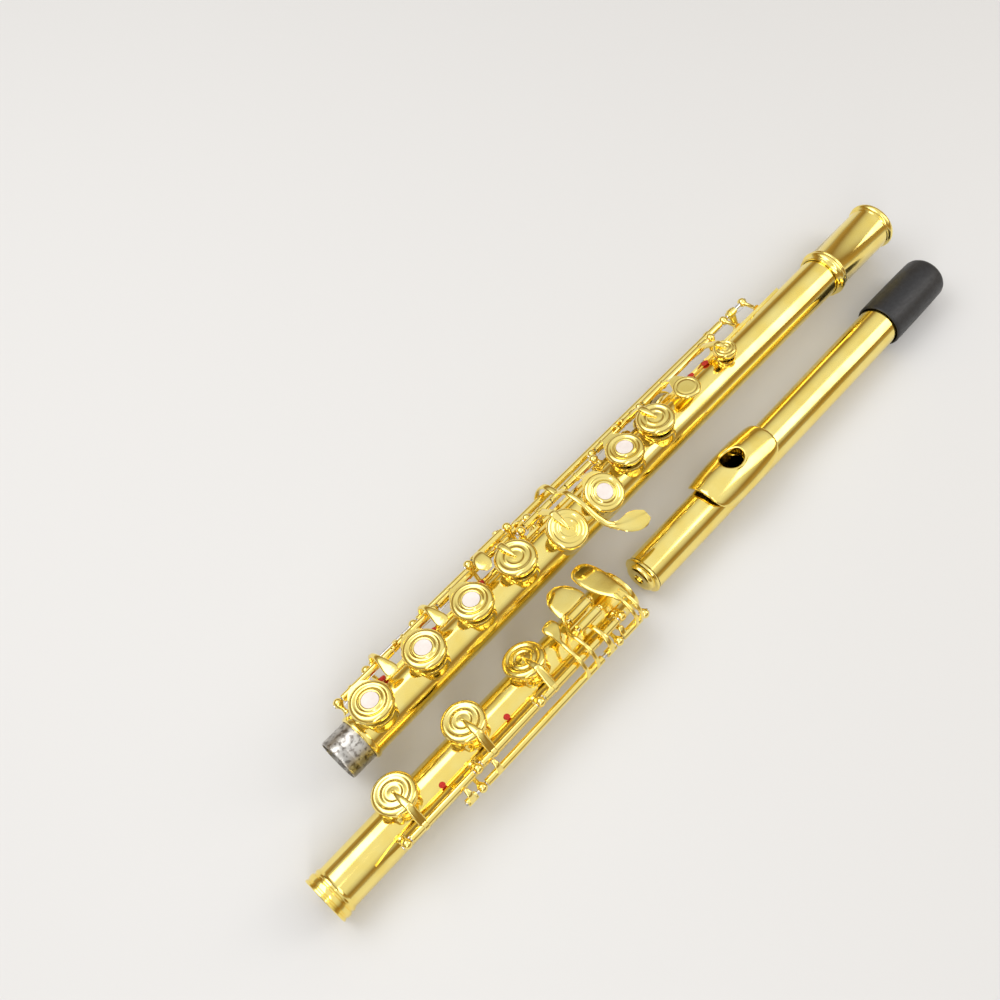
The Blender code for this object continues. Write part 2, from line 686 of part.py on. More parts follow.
FOOT_POSTS = (35.6, 74.6, 111.0, 160.8)
FOOT_LEVER_POSTS = (71.2, 153.4, 169.9)
D_SHARP_TAIL_X = 157.2
LEAF_X = 136.4


def make_foot_tube(section):
    """The foot's tube with its socket ring and the banded ring that stiffens the open end."""
    socket = [(SOCKET_OUTER_R, FOOT_LENGTH), (SOCKET_OUTER_R, FOOT_LENGTH - 1.9),
              (TUBE_R - 0.2, FOOT_LENGTH - 2.1), (TUBE_R - 0.2, FOOT_LENGTH)]
    bands = [(7.2, TUBE_R + 0.5), (6.0, TUBE_R + 0.6), (4.8, TUBE_R + 0.3), (4.4, TUBE_R + 0.9),
             (2.6, TUBE_R + 0.9), (2.0, TUBE_R + 0.5), (1.2, TUBE_R + 0.9), (0.1, TUBE_R + 0.7),
             (0.1, TUBE_R - 0.2), (7.4, TUBE_R - 0.2)]
    rings = [turned(socket, along(), TUBE_STEPS, loop=True),
             turned([(radius, x) for x, radius in bands], along(), TUBE_STEPS, loop=True)]
    cups = (FOOT_C_CUP, FOOT_C_SHARP_CUP, FOOT_D_SHARP_CUP)
    tube = bored_tube(0.0, FOOT_LENGTH - 0.2, cups, rings)
    finish(tube, "foot_tube", MATERIALS["gold"], section)


def make_foot_rib(section):
    strap = rib(170.4, 22.0, -67.0, 8.5, -12.0)
    for x in FOOT_POSTS:
        joined(strap, post(x, FOOT_LINE, -67.0))
    for x in FOOT_LEVER_POSTS:
        joined(strap, post(x, FOOT_LEVER_LINE, -74.0, SLANTED_FOOT))
    cut(strap, rod_cutter(20.0, 180.0, FOOT_LINE), rod_cutter(40.0, 185.0, FOOT_LEVER_LINE))
    finish(strap, "foot_rib", MATERIALS["gold"], section)
    finish(rod(ROD_R, 34.8, 161.6, FOOT_LINE), "foot_rod", MATERIALS["steel"], section)


def make_foot_keys(section):
    plateau_key(section, "foot_c", FOOT_C_CUP, FOOT_LINE, 38.1, 72.1)
    plateau_key(section, "foot_c_sharp", FOOT_C_SHARP_CUP, FOOT_LINE, 77.1, 108.5)


def make_d_sharp_key(section):
    """The closed-standing key.  A tail under its tube meets the finger of its lever."""
    hinge = hinge_empty("d_sharp_hinge", section, FOOT_LINE, 0.0)
    tail = bar([(D_SHARP_TAIL_X, -14.7, 4.9), (D_SHARP_TAIL_X, -14.6, 3.4), (D_SHARP_TAIL_X, -14.5, 1.9)],
               (3.0, 2.8, 2.4), (1.6, 1.4, 1.0))
    key = joined(closed_cup(FOOT_D_SHARP_CUP), pointed_arm(FOOT_D_SHARP_CUP, FOOT_LINE),
                 sleeve(HINGE_R, HINGE_BORE_R, 113.5, 158.1, FOOT_LINE), tail)
    hang(key, "d_sharp_key", hinge, FOOT_LINE)
    hang(closed_pad(FOOT_D_SHARP_CUP), "d_sharp_pad", hinge, FOOT_LINE, "pad")


def make_d_sharp_lever(section):
    """The lever with the long plate for the little finger; pressing it lifts the D sharp cup."""
    line = FOOT_LEVER_LINE
    hinge = hinge_empty("d_sharp_lever_hinge", section, line, 0.0)
    x = 163.0
    plate_path = line_path(x, [(0.8, 30.0, 21.3), (0.9, 24.5, 20.0), (1.1, 10.6, 18.0), (1.3, -8.0, 17.2),
                               (1.6, -24.0, 18.2), (1.9, -36.0, 20.0), (2.2, -46.0, 21.4)])
    plate = bar(plate_path, (3.0, 8.4, 11.2, 11.2, 9.4, 7.0, 5.4), (0.9, 1.5, 1.6, 1.6, 1.5, 1.5, 1.5), 8)
    arms = []
    for shift in (0.4, 3.5):
        path = line_path(x, [(shift * 0.8 + 0.2, -38.0, 20.6), (shift, -52.0, 22.0), (shift, -68.0, 22.4),
                             (shift, -82.0, 20.4), (shift, -89.0, 18.9)])
        arms.append(bar(path, (1.8, 1.7, 1.6, 1.6, 1.8), (1.5, 1.4, 1.4, 1.4, 1.4)))
    finger = bar([(D_SHARP_TAIL_X, -17.3, 0.8), (D_SHARP_TAIL_X, -16.9, 2.4), (D_SHARP_TAIL_X, -16.3, 3.8)],
                 (3.0, 2.8, 2.4), (1.8, 1.6, 1.2))
    key = joined(sleeve(HINGE_R, HINGE_BORE_R, 155.8, 167.4, line), plate, *arms, finger)
    hang(key, "d_sharp_lever", hinge, line)


ROLLER_R = 2.2
ROLLER_BORE_R = 0.95
ROLLER_PIN_R = 0.6
ROLLER_START = 142.8
ROLLER_END = 155.4
UPPER_ROLLER_LINE = (-17.0, 17.7)
LOWER_ROLLER_LINE = (-35.0, 16.8)


def roller_yoke(line, start=ROLLER_START, end=ROLLER_END):
    """The pin of a roller, the bar behind it and the two ears that join them."""
    angle, out = line
    pieces = [rod(ROLLER_PIN_R, start - 1.2, end + 1.2, line, 8)]
    behind = [(start - 1.3, *polar(angle, out - 3.5)), (end + 1.3, *polar(angle, out - 3.5))]
    pieces.append(bar(behind, (1.6, 1.6), (1.2, 1.2), 6, (0.0, 1.0, 0.0)))
    for x in (start - 0.9, end + 0.9):
        ear = [(x, *polar(angle, out - 3.9)), (x, *polar(angle, out + 0.9))]
        pieces.append(bar(ear, (1.1, 1.1), (2.6, 2.0)))
    return pieces


def make_c_sharp_lever(section):
    """The tube on the outer line, with the half-round plate and its roller, that works the C sharp key."""
    line = FOOT_LEVER_LINE
    hinge = hinge_empty("c_sharp_lever_hinge", section, line, 0.0)
    plate_path = line_path(149.4, [(0.0, -4.5, 16.9), (0.0, 3.0, 17.2), (0.0, 14.0, 18.4),
                                   (0.0, 24.0, 20.3), (0.0, 31.0, 22.0)])
    plate = bar(plate_path, (14.6, 15.0, 14.0, 10.6, 3.4), (1.3, 1.5, 1.5, 1.4, 0.9), 8)
    stem = bar([(141.9, *polar(-17.0, 14.2)), (142.3, *polar(-9.0, 15.4)), (144.6, *polar(0.5, 17.1))],
               (2.0, 2.0, 2.0), (2.0, 2.0, 1.4))
    arm_path = line_path(139.2, [(0.0, -89.0, 18.7), (0.0, -76.0, 20.6), (0.0, -58.0, 20.8),
                                 (0.0, -42.0, 18.4), (0.0, -30.0, 15.8), (2.7, -17.0, 14.2)])
    arm = bar(arm_path, (2.4, 1.9, 1.8, 1.8, 1.8, 1.8), (1.6, 1.6, 1.5, 1.5, 1.4, 1.4))
    bridge = bar(line_path(80.6, [(0.0, -90.0, 18.8), (0.0, -78.0, 19.8), (0.0, -70.0, 18.9)]),
                 (3.0, 2.6, 2.0), (1.5, 1.3, 1.0))
    leaf_path = line_path(LEAF_X, [(-3.2, -89.0, 18.7), (-3.2, -76.0, 20.4), (-3.2, -58.0, 20.4),
                                   (-3.0, -40.0, 18.2), (-2.2, -25.0, 16.2), (-0.8, -12.0, 15.4),
                                   (0.0, -1.0, 15.5), (0.4, 8.0, 16.0), (0.4, 11.0, 16.2)])
    leaf = bar(leaf_path, (2.4, 1.9, 1.8, 1.8, 2.2, 5.2, 7.2, 5.4, 2.2),
               (1.6, 1.6, 1.5, 1.4, 1.3, 1.3, 1.3, 1.1, 0.8))
    key = joined(sleeve(HINGE_R, HINGE_BORE_R, 73.7, 143.2, line), arm, leaf, stem, plate,
                 *roller_yoke(UPPER_ROLLER_LINE), bridge)
    hang(key, "c_sharp_lever", hinge, line)
    return hinge


def make_c_lever(section):
    """The long rod on the outer line, with the second roller, that works the low C key."""
    line = FOOT_LEVER_LINE
    hinge = hinge_empty("c_lever_hinge", section, line, 0.0)
    collar = rod(HINGE_R, 145.4, 150.8, line, HINGE_STEPS)
    far_collar = rod(HINGE_R, 62.6, 67.8, line, HINGE_STEPS)
    arm_path = line_path(148.0, [(0.0, -89.0, 18.8), (0.0, -76.0, 20.4), (0.0, -62.0, 20.0),
                                 (0.0, -50.0, 17.2), (0.0, -41.0, 14.4), (0.0, -35.0, 13.3)])
    arm = bar(arm_path, (3.0, 2.6, 2.4, 2.2, 2.2, 2.0), (1.6, 1.5, 1.5, 1.5, 1.4, 1.2))
    bridge = bar(line_path(65.2, [(0.0, -90.0, 18.8), (0.0, -78.0, 19.8), (0.0, -70.0, 18.9)]),
                 (3.4, 2.8, 2.0), (1.5, 1.3, 1.0))
    key = joined(rod(ROD_R, 62.0, 171.5, line), collar, far_collar, arm,
                 *roller_yoke(LOWER_ROLLER_LINE), bridge)
    hang(key, "c_lever", hinge, line)
    return hinge


def make_roller(name, hinge, line):
    length_gap = 0.3
    piece = sleeve(ROLLER_R, ROLLER_BORE_R, ROLLER_START + length_gap, ROLLER_END - length_gap, line, 14)
    lever_y, lever_z = polar(FOOT_LEVER_LINE[0], FOOT_LEVER_LINE[1])
    y, z = polar(line[0], line[1])
    finish(piece, name, MATERIALS["gold"], hinge, line)
    piece.location = (0.0, (y - lever_y) * MM, (z - lever_z) * MM)


# ---------------------------------------------------------------- head section


def head_outer(x):
    """The head's bore narrows slightly towards the crown."""
    taper = 1.0 - (x / HEAD_LENGTH)
    return TUBE_R - 0.05 - 0.9 * taper ** 1.6


def make_head_tube(section):
    start = CROWN_LENGTH - 8.0
    places = [HEAD_LENGTH, 180.0, 140.0, 105.0, 75.0, 40.0, start]
    profile = [(head_outer(x), x) for x in places]
    profile += [(head_outer(x) - HEAD_WALL, x) for x in reversed(places)]
    tube = turned(profile, along(), TUBE_STEPS, loop=True)
    cut(tube, embouchure_cutter())
    finish(tube, "head_tube", MATERIALS["gold"], section)


def embouchure_cutter(grow=0.0, low=2.0, high=22.0):
    """An oval plug through the blow hole, longer along the tube."""
    rings = []
    for out in (low, high):
        ring = []
        for step in range(20):
            turn = 2.0 * math.pi * step / 20
            ring.append((EMBOUCHURE_X + (6.0 + grow) * math.cos(turn), (5.1 + grow) * math.sin(turn), out))
        rings.append(ring)
    return lofted(rings)


LIP_HALF_LENGTH = 22.0
LIP_HALF_ANGLE = 78.0
LIP_THICKNESS = 1.2


def lip_section(x):
    share = x / LIP_HALF_LENGTH
    spread = LIP_HALF_ANGLE * max(1.0 - abs(share) ** 5.0, 0.12) ** 0.5
    crest = 14.4 - 1.5 * share * share
    ring = []
    steps = 10
    for index in range(steps + 1):
        turn = -spread + 2.0 * spread * index / steps
        droop = 2.0 * (turn / LIP_HALF_ANGLE) ** 2
        ring.append((EMBOUCHURE_X + x, *polar(turn, crest - droop)))
    for index in range(steps, -1, -1):
        turn = -spread + 2.0 * spread * index / steps
        droop = 2.0 * (turn / LIP_HALF_ANGLE) ** 2
        ring.append((EMBOUCHURE_X + x, *polar(turn, crest - droop - LIP_THICKNESS)))
    return ring


def make_lip_plate(section):
    """The lip plate and the riser soldered under it."""
    places = (-1.0, -0.96, -0.85, -0.65, -0.4, 0.0, 0.4, 0.65, 0.85, 0.96, 1.0)
    plate = lofted([lip_section(share * LIP_HALF_LENGTH) for share in places])
    riser = embouchure_cutter(1.3, TUBE_R + 0.25, 13.9)
    joined(plate, riser)
    cut(plate, embouchure_cutter(0.0, 8.0, 22.0), rod(TUBE_R + 0.2, 20.0, 100.0, steps=TUBE_STEPS))
    finish(plate, "lip_plate", MATERIALS["gold"], section)


def make_crown(section):
    """The end cap; turning it moves the stopper."""
    inner = head_outer(6.0) - HEAD_WALL - 0.3
    profile = [(2.4, 0.0), (5.6, 0.0), (6.6, 0.35), (7.1, 1.0), (7.1, 1.9), (8.7, 2.1), (9.35, 2.4),
               (9.35, 3.3), (9.0, 3.7), (inner, 3.7), (inner, 14.0), (2.4, 14.0)]
    profile.reverse()
    crown = turned(profile, along(), TUBE_STEPS, loop=True)
    finish(crown, "crown", MATERIALS["gold"], section)


def make_stopper(section):
    """The screw with its two plates, and the cork between them."""
    start = CORK_FACE_X - CORK_LENGTH
    plate_r = head_outer(30.0) - HEAD_WALL - 0.5
    profile = [(0.0, CORK_FACE_X), (plate_r, CORK_FACE_X), (plate_r, CORK_FACE_X - 1.2),
               (2.0, CORK_FACE_X - 1.2), (2.0, start + 1.2), (plate_r, start + 1.2), (plate_r, start),
               (2.0, start), (2.0, 1.2), (0.0, 1.2)]
    screw = turned(profile, along(), 16)
    finish(screw, "stopper_screw", MATERIALS["gold"], section)
    cork_r = head_outer(30.0) - HEAD_WALL - 0.3
    cork = sleeve(cork_r, 2.3, start + 1.5, CORK_FACE_X - 1.5, steps=20)
    finish(cork, "stopper_cork", MATERIALS["cork"], section)


def make_tenon_cap(section):
    profile = [(0.0, CAP_END), (CAP_R - 1.6, CAP_END), (CAP_R - 0.5, CAP_END - 0.9),
               (CAP_R - 0.2, CAP_END - 2.6), (CAP_R, CAP_START + 4.0), (CAP_R, CAP_START + 0.6),
               (CAP_R - 0.4, CAP_START),
               (CAP_BORE_R, CAP_START), (CAP_BORE_R, CAP_END - 1.6), (0.0, CAP_END - 1.6)]
    cap = turned(profile, along(), TUBE_STEPS)
    finish(cap, "tenon_cap", MATERIALS["black"], section)


# ---------------------------------------------------------------- assembly


def centre_on_the_floor():
    """Moves the three sections so that the origin is the middle of their underside."""
    bpy.context.view_layer.update()
    corners = [obj.matrix_world @ vertex.co for obj in FLUTE.objects if obj.type == "MESH"
               for vertex in obj.data.vertices]
    lows = [min(corner[axis] for corner in corners) for axis in range(3)]
    highs = [max(corner[axis] for corner in corners) for axis in range(3)]
    shift = Vector((-0.5 * (lows[0] + highs[0]), -0.5 * (lows[1] + highs[1]), -lows[2]))
    for name in ("body_section", "foot_section", "head_section"):
        bpy.data.objects[name].location += shift
    bpy.context.view_layer.update()


def make_body(section):
    make_body_tube(section)
    make_barrel(section)
    make_body_tenon(section)
    make_body_rib(section)
    make_thumb_rib(section)
    make_body_rods(section)
    make_main_keys(section)
    make_index_key(section)
    make_g_sharp_key(section)
    make_trill_keys(section)
    make_b_flat_lever(section)
    make_thumb_keys(section)


def make_foot(section):
    make_foot_tube(section)
    make_foot_rib(section)
    make_foot_keys(section)
    make_d_sharp_key(section)
    make_d_sharp_lever(section)
    upper = make_c_sharp_lever(section)
    lower = make_c_lever(section)
    make_roller("upper_roller", upper, UPPER_ROLLER_LINE)
    make_roller("lower_roller", lower, LOWER_ROLLER_LINE)


def make_head(section):
    make_head_tube(section)
    make_lip_plate(section)
    make_crown(section)
    make_stopper(section)
    make_tenon_cap(section)


FLUTE = start_scene()
MATERIALS = {
    "gold": make_material("gold", GOLD),
    "silver": make_material("silver", SILVER),
    "steel": make_material("steel", STEEL),
    "pad": make_material("pad", PAD_SKIN),
    "plug": make_material("plug", PLUG_WHITE),
    "black": make_material("black", BLACK_PLASTIC),
    "cork": make_material("cork", CORK_BROWN),
}
make_body(section_empty("body_section", 0.0, 0.0, BODY_AXIS_Z, BODY_LEAN))
make_foot(section_empty("foot_section", FOOT_X, FOOT_Y, LANE_AXIS_Z, FOOT_LEAN))
make_head(section_empty("head_section", HEAD_X, LANE_Y, LANE_AXIS_Z, HEAD_LEAN))
centre_on_the_floor()
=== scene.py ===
"""The looks of an open-hole concert flute lying in three sections.

Each section is built in its own frame, in millimetres: X along the tube, the cup line at +Z, angles measured
about X from +Z towards +Y, "out" measured from the tube's axis.
"""

import json
import math

import bmesh
import bpy
from mathutils import Matrix, Vector


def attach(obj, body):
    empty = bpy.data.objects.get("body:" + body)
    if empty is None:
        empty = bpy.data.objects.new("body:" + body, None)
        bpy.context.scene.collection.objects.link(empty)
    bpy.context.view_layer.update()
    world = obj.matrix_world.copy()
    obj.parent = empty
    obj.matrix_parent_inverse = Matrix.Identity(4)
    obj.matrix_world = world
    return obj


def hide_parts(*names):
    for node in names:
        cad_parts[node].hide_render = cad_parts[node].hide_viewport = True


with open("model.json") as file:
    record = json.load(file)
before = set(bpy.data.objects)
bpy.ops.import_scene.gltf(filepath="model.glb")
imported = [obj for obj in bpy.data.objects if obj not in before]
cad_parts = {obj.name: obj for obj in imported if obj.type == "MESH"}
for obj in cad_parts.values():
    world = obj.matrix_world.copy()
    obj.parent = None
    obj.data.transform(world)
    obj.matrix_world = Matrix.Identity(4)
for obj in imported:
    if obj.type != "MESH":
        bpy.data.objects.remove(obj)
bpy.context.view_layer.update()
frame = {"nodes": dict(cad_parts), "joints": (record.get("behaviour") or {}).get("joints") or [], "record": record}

MM = 0.001

# ---------------------------------------------------------------- where the sections lie

CROWN_JOINT = [joint for joint in frame["joints"] if joint["name"] == "crown_turn"][0]
HEAD_ORIGIN = Vector(CROWN_JOINT["pos_m"]) * (1.0 / MM)
BODY_ORIGIN = HEAD_ORIGIN + Vector((-131.0, 36.0, 6.8))
FOOT_ORIGIN = HEAD_ORIGIN + Vector((-183.0, 2.6, 0.0))


def section_matrix(origin, lean):
    return Matrix.Translation(origin) @ Matrix.Rotation(math.radians(-lean), 4, "X")


BODY = section_matrix(BODY_ORIGIN, 7.0)
FOOT = section_matrix(FOOT_ORIGIN, 28.0)
HEAD = section_matrix(HEAD_ORIGIN, 20.0)

# Sizes shared with the solid parts.
TUBE_R = 9.9
BORE_R = 9.5
BODY_LENGTH = 318.0
BARREL_START = BODY_LENGTH - 8.5
BARREL_END = 354.0
FOOT_LENGTH = 174.0
TUBE_STEPS = 96
CUP_STEPS = 56
CHIMNEY_TOP = 12.2
CUP_SEAT = 12.6
HINGE_R = 1.7
POST_R = 2.15
KEY_TRAVEL = math.radians(9.0)

MAIN_LINE = (64.0, 16.2)
OFFSET_LINE = (44.0, 15.2)
TRILL_LINE = (84.0, 18.6)
LEVER_LINE = (49.0, 20.2)
THUMB_LINE = (168.0, 14.2)
FOOT_LINE = (-67.0, 16.0)
FOOT_LEVER_LINE = (-92.0, 17.4)

D_CUP = (11.5, 0.0, 9.4, 6.9)
E_CUP = (40.9, 0.0, 9.4, 6.9)
F_CUP = (68.7, 0.0, 9.3, 6.7)
F_SHARP_CUP = (94.9, 0.0, 9.3, 6.7)
LOWER_G_CUP = (119.5, -26.0, 9.2, 6.6)
G_CUP = (142.9, -26.0, 9.2, 6.6)
A_CUP = (164.9, 0.0, 8.8, 6.4)
B_FLAT_CUP = (185.7, 0.0, 8.8, 6.4)
INDEX_PLATE = (207.5, 0.0, 6.4)
C_SHARP_CUP = (235.0, 0.0, 5.4, 3.2)
G_SHARP_CUP = (122.0, 127.0, 8.4, 6.2)
THUMB_CUP = (205.3, 118.0, 8.2, 6.0)
D_TRILL_CUP = (246.0, 125.0, 5.2, 3.6)
D_SHARP_TRILL_CUP = (264.0, 125.0, 5.2, 3.6)
BODY_HOLES = (D_CUP, E_CUP, F_CUP, F_SHARP_CUP, LOWER_G_CUP, G_CUP, A_CUP, B_FLAT_CUP, C_SHARP_CUP,
              G_SHARP_CUP, THUMB_CUP, D_TRILL_CUP, D_SHARP_TRILL_CUP)
FOOT_C_CUP = (45.3, 0.0, 9.5, 7.3)
FOOT_C_SHARP_CUP = (83.7, 0.0, 9.5, 7.3)
FOOT_D_SHARP_CUP = (119.3, 0.0, 9.5, 7.3)
FOOT_HOLES = (FOOT_C_CUP, FOOT_C_SHARP_CUP, FOOT_D_SHARP_CUP)

MAIN_POSTS = (3.6, 58.0, 115.2, 158.0, 190.8, 242.4)
TRILL_POSTS = (21.6, 49.0, 258.0, 272.4)
OFFSET_POSTS = (107.6, 154.6)
LEVER_POSTS = (80.6, 104.2)
THUMB_POSTS = (170.6, 187.6, 216.0)
FOOT_POSTS = (35.6, 74.6, 111.0, 160.8)
FOOT_LEVER_POSTS = (71.2, 153.4, 169.9)


def polar(angle, out):
    turn = math.radians(angle)
    return out * math.sin(turn), out * math.cos(turn)


def facing(x, angle, out=0.0):
    return (Matrix.Translation((x, 0.0, 0.0)) @ Matrix.Rotation(math.radians(-angle), 4, "X")
            @ Matrix.Translation((0.0, 0.0, out)))


def along(line=(0.0, 0.0)):
    y, z = polar(line[0], line[1])
    return Matrix.Translation((0.0, y, z)) @ Matrix.Rotation(math.radians(90.0), 4, "Y")


def swung(section, line, angle):
    """The place of a key that stands at this angle about its rod."""
    y, z = polar(line[0], line[1])
    return (section @ Matrix.Translation((0.0, y, z)) @ Matrix.Rotation(angle, 4, "X")
            @ Matrix.Translation((0.0, -y, -z)))


# ---------------------------------------------------------------- materials


def node(tree, kind, **inputs):
    made = tree.nodes.new(kind)
    for key, value in inputs.items():
        made.inputs[key.replace("_", " ")].default_value = value
    return made


def noise(tree, vector, scale, detail, stretch=None):
    source = vector
    if stretch is not None:
        mapping = tree.nodes.new("ShaderNodeMapping")
        mapping.inputs["Scale"].default_value = stretch
        tree.links.new(vector, mapping.inputs["Vector"])
        source = mapping.outputs["Vector"]
    made = tree.nodes.new("ShaderNodeTexNoise")
    made.inputs["Scale"].default_value = scale
    made.inputs["Detail"].default_value = detail
    tree.links.new(source, made.inputs["Vector"])
    return made.outputs["Fac"]


def ramp(tree, value, low, high, at=(0.3, 0.7)):
    made = tree.nodes.new("ShaderNodeValToRGB")
    made.color_ramp.elements[0].position = at[0]
    made.color_ramp.elements[0].color = low
    made.color_ramp.elements[1].position = at[1]
    made.color_ramp.elements[1].color = high
    tree.links.new(value, made.inputs["Fac"])
    return made.outputs["Color"]


def surface(name, light, dark, metallic, rough, scale=160.0, scratch=0.04, wear=None, coat=0.0):
    """A surface whose colour and roughness vary; a fine bump breaks its reflections."""
    material = bpy.data.materials.new(name)
    material.use_nodes = True
    tree = material.node_tree
    shader = tree.nodes["Principled BSDF"]
    place = tree.nodes.new("ShaderNodeTexCoord").outputs["Object"]
    cloud = noise(tree, place, scale, 4.0)
    colour = ramp(tree, cloud, dark, light)
    if wear is not None:
        spots = noise(tree, place, scale * 3.5, 6.0)
        mask = ramp(tree, spots, (0.0, 0.0, 0.0, 1.0), (1.0, 1.0, 1.0, 1.0), (0.5, 0.62))
        mix = tree.nodes.new("ShaderNodeMixRGB")
        mix.inputs["Color2"].default_value = wear
        tree.links.new(mask, mix.inputs["Fac"])
        tree.links.new(colour, mix.inputs["Color1"])
        colour = mix.outputs["Color"]
    tree.links.new(colour, shader.inputs["Base Color"])
    low, high = rough
    smear = noise(tree, place, scale * 0.7, 5.0, (1.0, 2.5, 2.5))
    rough_colour = ramp(tree, smear, (low, low, low, 1.0), (high, high, high, 1.0))
    tree.links.new(rough_colour, shader.inputs["Roughness"])
    shader.inputs["Metallic"].default_value = metallic
    shader.inputs["Coat Weight"].default_value = coat
    bump = tree.nodes.new("ShaderNodeBump")
    bump.inputs["Strength"].default_value = scratch
    bump.inputs["Distance"].default_value = 0.0002
    tree.links.new(noise(tree, place, scale * 9.0, 3.0, (0.25, 1.0, 1.0)), bump.inputs["Height"])
    tree.links.new(bump.outputs["Normal"], shader.inputs["Normal"])
    return material


GOLD = surface("gold", (1.0, 0.84, 0.29, 1.0), (0.985, 0.755, 0.185, 1.0), 1.0, (0.07, 0.17), 90.0, 0.035)
SILVER = surface("silver", (0.64, 0.62, 0.58, 1.0), (0.40, 0.38, 0.35, 1.0), 1.0, (0.22, 0.5), 170.0, 0.25,
                 (0.22, 0.20, 0.18, 1.0))
STEEL = surface("steel", (0.75, 0.75, 0.76, 1.0), (0.55, 0.55, 0.57, 1.0), 1.0, (0.15, 0.3), 300.0, 0.05)
PAD = surface("pad", (0.82, 0.75, 0.55, 1.0), (0.70, 0.60, 0.40, 1.0), 0.0, (0.5, 0.7), 400.0, 0.3)
PLUG = surface("plug", (0.86, 0.80, 0.76, 1.0), (0.78, 0.70, 0.66, 1.0), 0.0, (0.35, 0.5), 300.0, 0.12)
BLACK = surface("black_plastic", (0.018, 0.019, 0.022, 1.0), (0.010, 0.010, 0.012, 1.0), 0.0,
                (0.38, 0.52), 500.0, 0.3)
CORK = surface("cork", (0.62, 0.42, 0.24, 1.0), (0.42, 0.26, 0.13, 1.0), 0.0, (0.8, 0.95), 900.0, 0.8,
               (0.25, 0.14, 0.07, 1.0))
FELT = surface("felt", (0.75, 0.05, 0.03, 1.0), (0.5, 0.02, 0.015, 1.0), 0.0, (0.85, 1.0), 2500.0, 1.0)


# ---------------------------------------------------------------- shapes


def face_outward(mesh):
    edit = bmesh.new()
    edit.from_mesh(mesh)
    bmesh.ops.recalc_face_normals(edit, faces=edit.faces)
    edit.to_mesh(mesh)
    edit.free()


def linked(name, data):
    obj = bpy.data.objects.new(name, data)
    bpy.context.scene.collection.objects.link(obj)
    return obj


def solid_object(points, faces):
    mesh = bpy.data.meshes.new("work")
    mesh.from_pydata(points, [], faces)
    face_outward(mesh)
    return linked("work", mesh)


def cut_mesh(target, tools):
    """The mesh of the target with every tool cut out of it; the tools are removed."""
    for tool in tools:
        boolean = target.modifiers.new("cut", "BOOLEAN")
        boolean.operation = "DIFFERENCE"
        boolean.solver = "MANIFOLD"
        boolean.object = tool
    bpy.context.view_layer.update()
    graph = bpy.context.evaluated_depsgraph_get()
    mesh = bpy.data.meshes.new_from_object(target.evaluated_get(graph))
    for tool in tools:
        bpy.data.objects.remove(tool)
    return mesh


